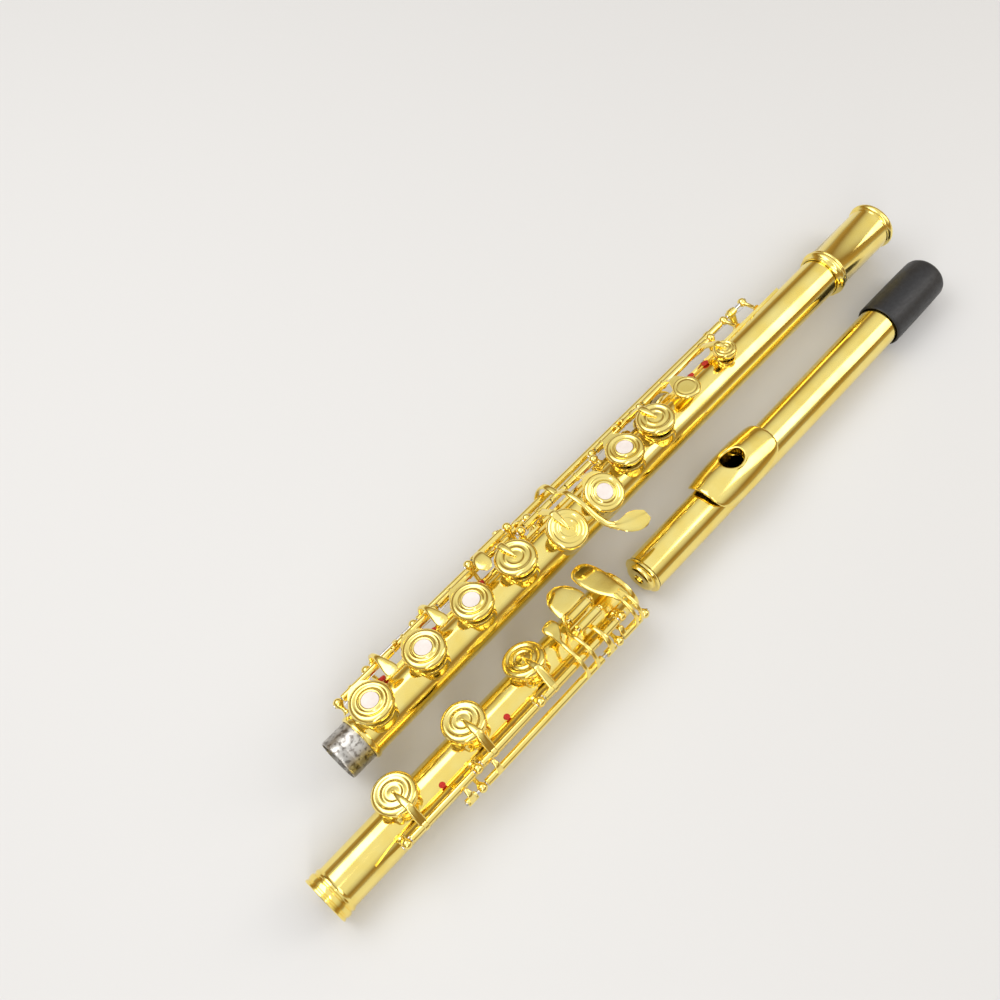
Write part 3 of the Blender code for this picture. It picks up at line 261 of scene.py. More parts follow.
class Shape:
    """Collects the turned pieces and bars of one visible piece."""

    def __init__(self):
        self.points = []
        self.faces = []
        self.looks = []

    def add(self, points, faces, look=0):
        base = len(self.points)
        self.points.extend(points)
        self.faces.extend([tuple(base + index for index in face) for face in faces])
        self.looks.extend([look] * len(faces))
        return self

    def turned(self, profile, matrix, steps=48, loop=False, look=0):
        """A turned piece; profile points are (radius, height), and a zero radius is a pole."""
        rings = []
        points = []
        for radius, height in profile:
            if radius <= 0.0:
                rings.append([len(points)])
                points.append(matrix @ Vector((0.0, 0.0, height)))
                continue
            ring = []
            for step in range(steps):
                turn = 2.0 * math.pi * step / steps
                ring.append(len(points))
                points.append(matrix @ Vector((radius * math.cos(turn), radius * math.sin(turn), height)))
            rings.append(ring)
        pairs = list(zip(rings, rings[1:]))
        if loop:
            pairs.append((rings[-1], rings[0]))
        faces = []
        for upper, lower in pairs:
            for step in range(steps):
                after = (step + 1) % steps
                if len(upper) == 1:
                    faces.append((upper[0], lower[step], lower[after]))
                elif len(lower) == 1:
                    faces.append((upper[step], lower[0], upper[after]))
                else:
                    faces.append((upper[step], lower[step], lower[after], upper[after]))
        return self.add(points, faces, look)

    def lofted(self, rings, look=0):
        count = len(rings[0])
        points = [Vector(point) for ring in rings for point in ring]
        faces = []
        for row in range(len(rings) - 1):
            for index in range(count):
                after = (index + 1) % count
                faces.append((row * count + index, row * count + after,
                              (row + 1) * count + after, (row + 1) * count + index))
        faces.append(tuple(reversed(range(count))))
        faces.append(tuple((len(rings) - 1) * count + index for index in range(count)))
        return self.add(points, faces, look)

    def bar(self, path, widths, depths, sides=14, across=(1.0, 0.0, 0.0), look=0, square=2.6):
        """A rounded bar along a smooth path, with rounded ends."""
        rows = smooth_rows([tuple(point) + (wide, deep) for point, wide, deep in zip(path, widths, depths)])
        first, last = rows[0], rows[-1]
        rows = [blunt(first, rows[1], 0.55)] + rows + [blunt(last, rows[-2], 0.55)]
        rings = []
        for index, row in enumerate(rows):
            before = Vector(rows[max(index - 1, 0)][:3])
            after = Vector(rows[min(index + 1, len(rows) - 1)][:3])
            ahead = (after - before).normalized()
            side = Vector(across)
            side = (side - ahead * side.dot(ahead)).normalized()
            up = ahead.cross(side)
            ring = []
            for corner in range(sides):
                turn = 2.0 * math.pi * (corner + 0.5) / sides
                c, s = math.cos(turn), math.sin(turn)
                c = math.copysign(abs(c) ** (2.0 / square), c)
                s = math.copysign(abs(s) ** (2.0 / square), s)
                ring.append(Vector(row[:3]) + side * (0.5 * row[3] * c) + up * (0.5 * row[4] * s))
            rings.append(ring)
        return self.lofted(rings, look)

    def place(self, name, body, matrix, replaces=(), slot=None, materials=(GOLD,), sharp=35.0):
        mesh = bpy.data.meshes.new(name)
        scale = Matrix.Scale(MM, 4)
        mesh.from_pydata([scale @ matrix @ Vector(point) for point in self.points], [], self.faces)
        for material in materials:
            mesh.materials.append(material)
        mesh.polygons.foreach_set("material_index", self.looks)
        face_outward(mesh)
        mesh.polygons.foreach_set("use_smooth", [True] * len(mesh.polygons))
        mesh.set_sharp_from_angle(angle=math.radians(sharp))
        obj = linked(name, mesh)
        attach(obj, body)
        if replaces:
            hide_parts(*replaces)
        return obj

    def place_gold(self, node, matrix, body=None):
        """Stands in for one solid node; a key rides on the body of its own name."""
        self.place(node + "_look", body or node, matrix, [node], "gold", (GOLD, STEEL))


def blunt(end, inner, share):
    """A smaller ring just past a bar's end, so that the end looks rounded."""
    way = Vector(end[:3]) - Vector(inner[:3])
    way.normalize()
    reach = 0.3 * min(end[3], end[4])
    point = Vector(end[:3]) + way * reach
    return (point.x, point.y, point.z, end[3] * share, end[4] * share)


def smooth_rows(rows, between=4):
    """Catmull-Rom rows through the given rows."""
    made = []
    last = len(rows) - 1
    for index in range(last):
        p0 = rows[max(index - 1, 0)]
        p1 = rows[index]
        p2 = rows[index + 1]
        p3 = rows[min(index + 2, last)]
        for step in range(between):
            t = step / between
            made.append(tuple(0.5 * (2.0 * b + (c - a) * t + (2.0 * a - 5.0 * b + 4.0 * c - d) * t * t
                                     + (3.0 * b - a - 3.0 * c + d) * t * t * t)
                              for a, b, c, d in zip(p0, p1, p2, p3)))
    made.append(rows[-1])
    return made


# ---------------------------------------------------------------- cups, arms, posts


def cup_frame(x, angle):
    def place(along_x, across, out):
        turn = math.radians(angle)
        return (x + along_x, across * math.cos(turn) + out * math.sin(turn),
                -across * math.sin(turn) + out * math.cos(turn))
    return place


def hinge_in_cup_frame(angle, line):
    turn = math.radians(line[0] - angle)
    return line[1] * math.sin(turn), line[1] * math.cos(turn)


def closed_cup(shape, cup):
    """A cup with a raised rim, two spun grooves and a small centre dimple."""
    r = cup[2]
    rings = [(0.0, 2.76), (0.12, 2.74), (0.24, 2.60), (0.32, 2.54), (0.37, 2.58), (0.40, 2.72), (0.43, 2.80),
             (0.47, 2.80), (0.50, 2.70), (0.53, 2.58), (0.60, 2.52), (0.66, 2.54), (0.70, 2.64), (0.73, 2.82),
             (0.77, 2.92), (0.82, 2.92), (0.88, 2.80), (0.93, 2.54), (0.97, 2.12), (0.99, 1.70), (1.0, 1.24),
             (1.0, 0.12), (0.99, 0.0)]
    profile = [(share * r, height) for share, height in rings]
    profile += [(r - 0.6, 0.0), (r - 0.6, 1.75), (0.0, 1.75)]
    shape.turned(profile, facing(cup[0], cup[1], CUP_SEAT), CUP_STEPS)


def open_cup(shape, cup):
    """A cup with a stepped top and a raised collar round the finger hole."""
    r = cup[2]
    profile = [(3.75, 1.75), (3.75, 2.9), (3.85, 3.15), (4.2, 3.3), (4.6, 3.22), (4.95, 2.95), (5.2, 2.66),
               (0.60 * r, 2.5), (0.66 * r, 2.5), (0.70 * r, 2.62), (0.73 * r, 2.82), (0.77 * r, 2.92),
               (0.82 * r, 2.90), (0.88 * r, 2.74), (0.93 * r, 2.46), (0.97 * r, 2.04), (0.99 * r, 1.62),
               (r, 1.2), (r, 0.12), (0.99 * r, 0.0), (r - 0.6, 0.0), (r - 0.6, 1.75)]
    shape.turned(profile, facing(cup[0], cup[1], CUP_SEAT), CUP_STEPS, loop=True)


def pointed_arm(shape, cup, line):
    x, angle, radius = cup[0], cup[1], cup[2]
    place = cup_frame(x, angle)
    across, out = hinge_in_cup_frame(angle, line)
    side = math.copysign(1.0, across)
    top = CUP_SEAT + 2.9
    start = Vector((0.0, across, out))
    rim = Vector((0.0, side * (radius + 0.4), top - 0.7))
    first = start + (rim - start).normalized() * (HINGE_R - 0.6)
    path = [place(0.0, first[1], first[2]), place(0.0, rim[1], rim[2]),
            place(0.0, side * (radius - 1.8), top + 0.25), place(0.0, side * radius * 0.4, top + 0.35),
            place(0.0, -side * radius * 0.06, top + 0.0)]
    shape.bar(path, (4.4, 3.4, 3.4, 2.6, 0.5), (2.4, 1.5, 1.4, 1.3, 0.7))
    ball_r = 0.72
    ball = [(ball_r * math.sin(math.radians(turn)), ball_r * math.cos(math.radians(turn)))
            for turn in range(15, 180, 15)]
    shape.turned([(0.0, ball_r)] + ball + [(0.0, -ball_r)], facing(x, angle, CUP_SEAT + 2.95), 20)
    collar(shape, x, line, 1.1)


def collar(shape, x, line, half=0.75, radius=HINGE_R + 0.42):
    """The ring of an arm where it is soldered round its hinge tube."""
    profile = [(radius - 0.2, x + half), (radius, x + half - 0.2), (radius, x - half + 0.2),
               (radius - 0.2, x - half), (1.2, x - half), (1.2, x + half)]
    shape.turned(profile, along(line), 28, loop=True)


def forked_arm(shape, cup, line):
    """A flat Y of metal: a narrow neck at the tube that spreads to hug the cup's rim."""
    x, angle, radius = cup[0], cup[1], cup[2]
    place = cup_frame(x, angle)
    across, out = hinge_in_cup_frame(angle, line)
    side = math.copysign(1.0, across)
    level = CUP_SEAT + 2.0
    neck = side * across - 0.8
    reach = 0.68 * radius
    rings = []
    stations = 12
    for step in range(stations + 1):
        share = step / stations
        half = 0.9 + (reach - 0.9) * share ** 2.6
        middle = neck + (radius - 0.35 - neck) * share
        height = out + 0.9 + (level - out - 0.9) * min(1.0, share * 1.5) ** 0.8
        bulge = share ** 3.0
        thick = 0.85 - 0.25 * share
        ring = []
        for spot in (-1.0, -0.92, -0.5, 0.0, 0.5, 0.92, 1.0):
            sag = radius - math.sqrt(radius * radius - (spot * half) ** 2)
            drop = 0.25 if abs(spot) == 1.0 else 0.0
            ring.append(place(spot * half, side * (middle - bulge * sag), height + 0.5 * thick - drop))
        for spot in (1.0, 0.5, 0.0, -0.5, -1.0):
            sag = radius - math.sqrt(radius * radius - (spot * half) ** 2)
            ring.append(place(spot * half, side * (middle - bulge * sag), height - 0.5 * thick))
        rings.append(ring)
    shape.lofted(rings)
    collar(shape, x, line)


def sleeve(shape, start, end, line, radius=HINGE_R, bore=1.05):
    """A hinge tube with a fine turned line at each end."""
    groove = 0.14
    profile = [(radius - 0.2, end), (radius, end - 0.2), (radius, end - 0.9), (radius - groove, end - 1.0),
               (radius - groove, end - 1.2), (radius, end - 1.3), (radius, start + 1.3),
               (radius - groove, start + 1.2), (radius - groove, start + 1.0), (radius, start + 0.9),
               (radius, start + 0.2), (radius - 0.2, start), (bore, start), (bore, end)]
    shape.turned(profile, along(line), 24, loop=True)


def rod(shape, radius, start, end, line, look=0, steps=24):
    profile = [(0.0, end), (radius - 0.1, end), (radius, end - 0.1), (radius, start + 0.1),
               (radius - 0.1, start), (0.0, start)]
    shape.turned(profile, along(line), steps, look=look)


def post(shape, x, line, foot_angle, foot_out=10.9):
    """A ball-topped post with a turned waist and a slotted pivot screw in its side."""
    foot = Vector((x, *polar(foot_angle, foot_out)))
    head = Vector((x, *polar(line[0], line[1])))
    height = (head - foot).length
    ball = [(POST_R * math.sin(math.radians(a)), height + POST_R * math.cos(math.radians(a)))
            for a in range(15, 150, 15)]
    low = height - POST_R * 1.05
    profile = [(0.0, height + POST_R)] + ball
    profile += [(1.0, low), (0.9, low - 0.4), (0.95, 1.4), (1.3, 0.7), (1.75, 0.3), (1.8, -0.1), (0.0, -0.1)]
    stand = (head - foot).to_track_quat("Z", "Y").to_matrix().to_4x4()
    shape.turned(profile, Matrix.Translation(foot) @ stand, 28)
    screw = [(0.0, x + POST_R + 0.12), (0.85, x + POST_R + 0.12), (0.95, x + POST_R - 0.1),
             (0.95, x - POST_R + 0.1), (0.85, x - POST_R - 0.12), (0.0, x - POST_R - 0.12)]
    shape.turned(screw, along(line), 20, look=1)


def rib(shape, start, end, angle, half_width, tip):
    inner = TUBE_R - 0.15
    outer = TUBE_R + 1.15
    rings = []
    for x, share in ((start, 0.9), (start + 0.3, 1.0), (end - tip, 1.0), (end - 0.7 * tip, 0.86),
                     (end - 0.4 * tip, 0.55), (end - 0.15 * tip, 0.25), (end, 0.06)):
        spread = half_width * share
        ring = []
        for step in (-1.0, -0.9, -0.5, 0.0, 0.5, 0.9, 1.0):
            drop = 0.35 if abs(step) == 1.0 else 0.0
            ring.append((x, *polar(angle + step * spread, outer - drop)))
        for step in (1.0, 0.0, -1.0):
            ring.append((x, *polar(angle + step * (spread + 1.0), inner)))
        rings.append(ring)
    shape.lofted(rings)


def line_path(x, points):
    return [(x + shift, *polar(angle, out)) for shift, angle, out in points]


def tube_profile(points, bore):
    """A closed profile along the tube from (x, radius) pairs on the outside and one bore radius."""
    profile = [(radius, x) for x, radius in points]
    return profile + [(bore, points[-1][0]), (bore, points[0][0])]


def chimney(shape, cup):
    """A drawn tone hole with a rolled rim and a soft flare where it leaves the tube."""
    r = cup[3]
    top = CHIMNEY_TOP
    profile = [(r + 2.0, TUBE_R - 2.6), (r + 1.0, TUBE_R - 0.6), (r + 0.75, TUBE_R + 0.6),
               (r + 0.72, top - 0.9), (r + 0.9, top - 0.6), (r + 1.0, top - 0.3), (r + 0.85, top),
               (r + 0.4, top + 0.08), (r, top - 0.1), (r - 0.1, top - 0.5), (r - 0.1, 7.0), (r + 2.0, 7.0)]
    shape.turned(profile, facing(cup[0], cup[1]), 48, loop=True)


def bored_tube(node, body, section, start, end, cups, extra):
    """A tube with real tone holes: a plain solid bored along, then cut at each hole."""
    def solid(profile, matrix, steps):
        piece = Shape().turned(profile, matrix, steps)
        return solid_object([tuple(point) for point in piece.points], piece.faces)

    past, above, below = 9.0, 16.0, 3.0
    tube = solid([(0.0, end), (TUBE_R, end), (TUBE_R, start), (0.0, start)], along(), TUBE_STEPS)
    tools = [solid([(0.0, end + past), (BORE_R, end + past), (BORE_R, start - past), (0.0, start - past)],
                   along(), TUBE_STEPS)]
    for cup in cups:
        hole_r = cup[3] - 0.1
        tools.append(solid([(0.0, above), (hole_r, above), (hole_r, below), (0.0, below)],
                           facing(cup[0], cup[1]), 48))
    mesh = cut_mesh(tube, tools)
    bpy.data.objects.remove(tube)
    shape = Shape()
    shape.add([vertex.co.copy() for vertex in mesh.vertices], [tuple(p.vertices) for p in mesh.polygons])
    for cup in cups:
        chimney(shape, cup)
    for points, bore_r in extra:
        shape.turned(tube_profile(points, bore_r), along(), TUBE_STEPS, loop=True)
    shape.place(node + "_look", body, section, [node], "gold")


def barrel_points(start, end):
    r = 10.9
    return [(start, r + 0.1), (start + 0.25, r + 0.35), (start + 1.2, r + 0.35), (start + 1.45, r + 0.15),
            (start + 1.7, r + 0.35), (start + 2.1, r + 0.85), (start + 2.7, r + 1.15),
            (start + 3.3, r + 1.25), (start + 3.9, r + 1.15), (start + 4.4, r + 0.8),
            (start + 4.7, r + 0.4), (start + 4.95, r + 0.4), (start + 5.2, r + 0.6),
            (start + 5.6, r + 0.65), (start + 6.0, r + 0.5), (start + 6.3, r + 0.1), (start + 6.5, r),
            (end - 4.4, r), (end - 4.25, r + 0.15), (end - 4.0, r + 0.4), (end - 3.6, r + 0.45),
            (end - 3.3, r + 0.3), (end - 3.1, r + 0.3), (end - 2.8, r + 0.7), (end - 2.3, r + 1.1),
            (end - 1.6, r + 1.25), (end - 0.9, r + 1.15), (end - 0.3, r + 0.85), (end, r + 0.4)]


def make_body_static():
    shoulder = [(0.1, 10.3), (0.4, 10.6), (1.6, 10.65), (2.2, 10.4), (2.5, 9.9)]
    bored_tube("body_tube", "body_section", BODY, 0.0, BODY_LENGTH, BODY_HOLES, [(shoulder, BORE_R + 0.1)])
    shape = Shape().turned(tube_profile(barrel_points(BARREL_START, BARREL_END), 10.15), along(), TUBE_STEPS,
                           loop=True)
    shape.place("barrel_look", "body_section", BODY, ["barrel"], "gold")
    tenon = [(-12.0, 9.1), (-11.7, 9.3), (-11.3, 9.38), (-7.8, 9.38), (-7.6, 9.3), (-7.4, 9.38), (-0.4, 9.38),
             (0.4, 9.2), (6.0, 9.2)]
    shape = Shape().turned(tube_profile(tenon, 8.8), along(), TUBE_STEPS, loop=True)
    shape.place("body_tenon_look", "body_section", BODY, ["body_tenon"], "silver", (SILVER,))
    shape = Shape()
    rib(shape, 5.2, 288.0, 65.0, 6.5, 14.0)
    for x in MAIN_POSTS:
        post(shape, x, MAIN_LINE, 64.0)
    for x in TRILL_POSTS:
        post(shape, x, TRILL_LINE, 70.0)
    for x in OFFSET_POSTS:
        post(shape, x, OFFSET_LINE, 61.0, 11.3)
    for x in LEVER_POSTS:
        post(shape, x, LEVER_LINE, 60.0)
    shape.place_gold("body_rib", BODY, "body_section")
    shape = Shape()
    rib(shape, 166.0, 221.0, 174.0, 8.0, 4.0)
    for x in THUMB_POSTS:
        post(shape, x, THUMB_LINE, 172.0)
    shape.place_gold("thumb_rib", BODY, "body_section")


# ---------------------------------------------------------------- keys


def pad_look(name, body, matrix, cup, hole=False):
    """The pad: felt under a thin skin, with a rounded edge."""
    r = cup[2] - 0.9
    if hole:
        profile = [(r, 1.4), (r, 0.0), (r - 0.25, -0.22), (r - 0.7, -0.25), (3.9, -0.25), (3.6, -0.1),
                   (3.6, 1.4)]
        shape = Shape().turned(profile, facing(cup[0], cup[1], CUP_SEAT), 48, loop=True)
    else:
        profile = [(0.0, 1.4), (r, 1.4), (r, 0.0), (r - 0.25, -0.22), (r - 0.7, -0.25), (0.0, -0.25)]
        shape = Shape().turned(profile, facing(cup[0], cup[1], CUP_SEAT), 48)
    shape.place(name + "_look", body, matrix, [name], "pad", (PAD,))


def lug(shape, x, line):
    """A small flat tab on a key's tube, where a neighbouring key bears on it."""
    path = line_path(x, [(0.0, line[0] + 2.0, line[1] + 1.3), (0.0, line[0] - 6.0, line[1] + 1.9),
                         (0.0, line[0] - 15.0, line[1] + 1.3)])
    shape.bar(path, (2.4, 2.4, 2.1), (1.3, 1.3, 1.1))


def open_key(name, cup, line, start, end, lug_x=None):
    matrix = swung(BODY, line, -KEY_TRAVEL)
    shape = Shape()
    open_cup(shape, cup)
    forked_arm(shape, cup, line)
    sleeve(shape, start, end, line)
    if lug_x is not None:
        lug(shape, lug_x, line)
    body = name + "_key"
    shape.place_gold(body, matrix)
    pad_look(name + "_pad", body, matrix, cup, True)
    plug = [(0.0, 2.86), (1.6, 2.88), (2.8, 2.96), (3.3, 3.06), (3.6, 3.08), (3.72, 2.96), (3.72, 2.8),
            (3.5, 0.3), (0.0, 0.3)]
    shape = Shape().turned(plug, facing(cup[0], cup[1], CUP_SEAT), 40)
    shape.place(name + "_plug_look", body, matrix, [name + "_plug"], "plug", (PLUG,))


def plateau_key(section, name, cup, line, start, end, lug_x=None):
    rest = -KEY_TRAVEL if line[0] > cup[1] else KEY_TRAVEL
    matrix = swung(section, line, rest)
    shape = Shape()
    closed_cup(shape, cup)
    pointed_arm(shape, cup, line)
    sleeve(shape, start, end, line)
    if lug_x is not None:
        lug(shape, lug_x, line)
    body = name + "_key"
    shape.place_gold(body, matrix)
    pad_look(name + "_pad", body, matrix, cup)


def make_main_keys():
    open_key("d", D_CUP, MAIN_LINE, 6.1, 33.8)
    open_key("e", E_CUP, MAIN_LINE, 34.2, 55.5, 36.6)
    open_key("f", F_CUP, MAIN_LINE, 60.5, 85.0, 83.2)
    plateau_key(BODY, "f_sharp", F_SHARP_CUP, MAIN_LINE, 85.4, 112.7, 109.6)
    plateau_key(BODY, "lower_g", LOWER_G_CUP, OFFSET_LINE, 110.1, 126.4)
    open_key("g", G_CUP, OFFSET_LINE, 136.2, 152.1)
    open_key("a", A_CUP, MAIN_LINE, 160.5, 176.2, 174.4)
    plateau_key(BODY, "b_flat", B_FLAT_CUP, MAIN_LINE, 176.6, 188.3, 178.2)
    plateau_key(FOOT, "foot_c", FOOT_C_CUP, FOOT_LINE, 38.1, 72.1)
    plateau_key(FOOT, "foot_c_sharp", FOOT_C_SHARP_CUP, FOOT_LINE, 77.1, 108.5)


def make_index_key():
    matrix = swung(BODY, MAIN_LINE, -KEY_TRAVEL)
    shape = Shape()
    x, angle, r = INDEX_PLATE
    rings = [(0.0, 2.42), (0.5, 2.42), (0.64, 2.44), (0.67, 2.36), (0.70, 2.34), (0.73, 2.42), (0.76, 2.5),
             (0.86, 2.5), (0.93, 2.36), (0.98, 2.0), (1.0, 1.5), (0.99, 0.9), (0.92, 0.4), (0.8, 0.2),
             (0.0, 0.1)]
    shape.turned([(share * r, height) for share, height in rings], facing(x, angle, CUP_SEAT), 48)
    forked_arm(shape, (x, angle, r), MAIN_LINE)
    closed_cup(shape, C_SHARP_CUP)
    pointed_arm(shape, C_SHARP_CUP, MAIN_LINE)
    sleeve(shape, 193.3, 239.9, MAIN_LINE)
    shape.place_gold("index_key", matrix)


def make_g_sharp_key():
    x = 131.3
    shape = Shape()
    sleeve(shape, 126.8, 135.8, OFFSET_LINE)
    shape.bar(line_path(x, [(0.0, 42.0, 16.2), (0.0, 18.0, 18.6), (0.0, -10.0, 18.8), (0.4, -34.0, 18.6),
                            (1.8, -50.0, 19.4), (4.0, -58.0, 21.0)]),
              (3.4, 2.6, 2.4, 2.6, 2.8, 3.0), (1.6, 1.4, 1.4, 1.4, 1.4, 1.3), 18)
    spoon(shape, line_path(x, [(2.2, -54.0, 20.4), (5.0, -60.5, 21.9), (8.0, -64.0, 23.4),
                               (11.5, -66.5, 24.6), (15.0, -68.0, 25.4), (18.0, -69.0, 25.9)]),
          (2.6, 4.6, 8.2, 10.2, 9.2, 4.6))
    shape.bar(line_path(x, [(0.0, 48.0, 16.2), (0.0, 64.0, 20.6), (-1.0, 84.0, 22.2), (-5.0, 102.0, 20.0),
                            (-9.3, 120.0, 16.2), (-9.3, 128.0, 15.6)]),
              (3.4, 2.8, 2.6, 2.8, 2.6, 1.0), (1.6, 1.5, 1.4, 1.4, 1.3, 0.9))
    closed_cup(shape, G_SHARP_CUP)
    shape.place_gold("g_sharp_key", BODY)
    pad_look("g_sharp_pad", "g_sharp_key", BODY, G_SHARP_CUP)


def trill_touch(shape, x):
    shape.bar(line_path(x, [(0.0, 82.0, 20.0), (0.0, 66.0, 20.8), (0.0, 46.0, 20.4), (0.0, 28.0, 17.6),
                            (0.0, 16.0, 16.2), (0.0, 11.0, 16.0)]),
              (2.6, 2.2, 2.2, 5.0, 5.8, 3.6), (1.6, 1.5, 1.4, 1.4, 1.3, 0.9), 20)


def make_trill_keys():
    shape = Shape()
    sleeve(shape, 51.6, 255.4, TRILL_LINE)
    trill_touch(shape, 54.8)
    closed_cup(shape, D_TRILL_CUP)
    pointed_arm(shape, D_TRILL_CUP, TRILL_LINE)
    shape.place_gold("d_trill_key", BODY)
    shape = Shape()
    rod(shape, 0.85, 20.6, 273.4, TRILL_LINE, 1)
    rod(shape, HINGE_R, 24.2, 28.4, TRILL_LINE)
    rod(shape, HINGE_R, 261.4, 266.6, TRILL_LINE)
    trill_touch(shape, 26.2)
    closed_cup(shape, D_SHARP_TRILL_CUP)
    pointed_arm(shape, D_SHARP_TRILL_CUP, TRILL_LINE)
    shape.place_gold("d_sharp_trill_key", BODY)


def make_b_flat_lever():
    shape = Shape()
    sleeve(shape, 83.1, 101.7, LEVER_LINE)
    shape.bar(line_path(86.0, [(0.0, 47.0, 21.4), (-0.5, 40.0, 21.6), (-1.5, 32.0, 20.4), (-2.0, 24.0, 19.2),
                               (-2.4, 18.0, 18.4)]),
              (3.0, 5.0, 7.0, 6.4, 2.8), (1.6, 1.5, 1.3, 1.2, 0.9), 18)
    shape.bar(line_path(99.6, [(0.0, 51.0, 21.4), (0.0, 60.0, 21.6), (0.0, 66.0, 20.6)]),
              (2.6, 2.2, 1.6), (1.5, 1.3, 1.0))
    shape.place_gold("b_flat_lever", BODY)


def spoon(shape, path, widths, thick=1.1):
    """A finger touch like a shallow spoon with a soft ridge along it, level across."""
    rows = smooth_rows([tuple(point) + (wide,) for point, wide in zip(path, widths)], 5)
    rings = []
    for index, row in enumerate(rows):
        before = Vector(rows[max(index - 1, 0)][:3])
        after = Vector(rows[min(index + 1, len(rows) - 1)][:3])
        ahead = (after - before).normalized()
        side = ahead.cross(Vector((0.0, 0.0, 1.0))).normalized()
        up = side.cross(ahead)
        half = 0.5 * row[3]
        centre = Vector(row[:3])
        ring = []
        for spot, lift in ((-1.0, 0.1), (-0.94, 0.35), (-0.6, 0.22), (-0.2, 0.3), (0.0, 0.42), (0.2, 0.3),
                           (0.6, 0.22), (0.94, 0.35), (1.0, 0.1)):
            ring.append(centre + side * (spot * half) + up * (lift * thick))
        for spot, lift in ((0.9, -0.3), (0.0, -0.5), (-0.9, -0.3)):
            ring.append(centre + side * (spot * half) + up * (lift * thick))
        rings.append(ring)
    shape.lofted(rings)


def thumb_plate(shape, x, length):
    """A curved plate that lies round the tube, with its corners cut off."""
    half = 0.5 * length
    middle, widest, top, bottom = 124.0, 24.0, 16.4, 15.2
    rings = []
    for shift, share in ((-1.0, 0.4), (-0.94, 0.62), (-0.8, 0.82), (-0.5, 0.96), (0.0, 1.0), (0.5, 0.96),
                         (0.8, 0.82), (0.94, 0.62), (1.0, 0.4)):
        spread = widest * share
        ring = []
        for step in (-1.0, -0.9, -0.5, 0.0, 0.5, 0.9, 1.0):
            drop = 0.3 if abs(step) == 1.0 else 0.0
            ring.append((x + shift * half, *polar(middle + step * spread, top - drop)))
        for step in (1.0, 0.5, 0.0, -0.5, -1.0):
            ring.append((x + shift * half, *polar(middle + step * spread, bottom)))
        rings.append(ring)
    shape.lofted(rings)


def thumb_arm(shape, x):
    shape.bar(line_path(x, [(0.0, 164.0, 15.6), (0.0, 156.0, 16.4), (0.0, 146.0, 16.0), (0.0, 138.0, 15.8)]),
              (4.0, 4.0, 4.0, 3.6), (1.4, 1.4, 1.2, 1.0))


def make_thumb_keys():
    matrix = swung(BODY, THUMB_LINE, -KEY_TRAVEL)
    shape = Shape()
    closed_cup(shape, THUMB_CUP)
    pointed_arm(shape, THUMB_CUP, THUMB_LINE)
    sleeve(shape, 190.1, 213.5, THUMB_LINE)
    thumb_plate(shape, 192.0, 6.4)
    thumb_arm(shape, 192.0)
    shape.place_gold("thumb_key", matrix)
    pad_look("thumb_pad", "thumb_key", matrix, THUMB_CUP)
    shape = Shape()
    thumb_plate(shape, 180.0, 12.0)
    thumb_arm(shape, 179.0)
    sleeve(shape, 173.1, 185.1, THUMB_LINE)
    shape.place_gold("thumb_b_flat_key", matrix)


# ---------------------------------------------------------------- foot


UPPER_ROLLER_LINE = (-17.0, 17.7)
LOWER_ROLLER_LINE = (-35.0, 16.8)
ROLLER_START = 142.8
ROLLER_END = 155.4


def make_foot_static():
    end_ring = [(0.0, 10.5), (0.3, 10.8), (1.0, 10.8), (1.3, 10.45), (1.9, 10.45), (2.2, 10.75), (3.4, 10.85),
                (4.2, 10.7), (4.5, 10.25), (5.0, 10.2), (5.4, 10.5), (6.2, 10.5), (6.6, 10.2), (7.3, 9.95)]
    socket = [(171.9, 10.0), (172.3, 10.45), (173.6, 10.6), (174.0, 10.4)]
    bored_tube("foot_tube", "foot_section", FOOT, 0.1, FOOT_LENGTH - 0.2, FOOT_HOLES,
               [(end_ring, BORE_R + 0.1), (socket, BORE_R + 0.1)])
    shape = Shape()
    rib(shape, 170.4, 22.0, -67.0, 8.5, -12.0)
    for x in FOOT_POSTS:
        post(shape, x, FOOT_LINE, -67.0)
    for x in FOOT_LEVER_POSTS:
        post(shape, x, FOOT_LEVER_LINE, -74.0, 11.3)
    shape.place_gold("foot_rib", FOOT, "foot_section")


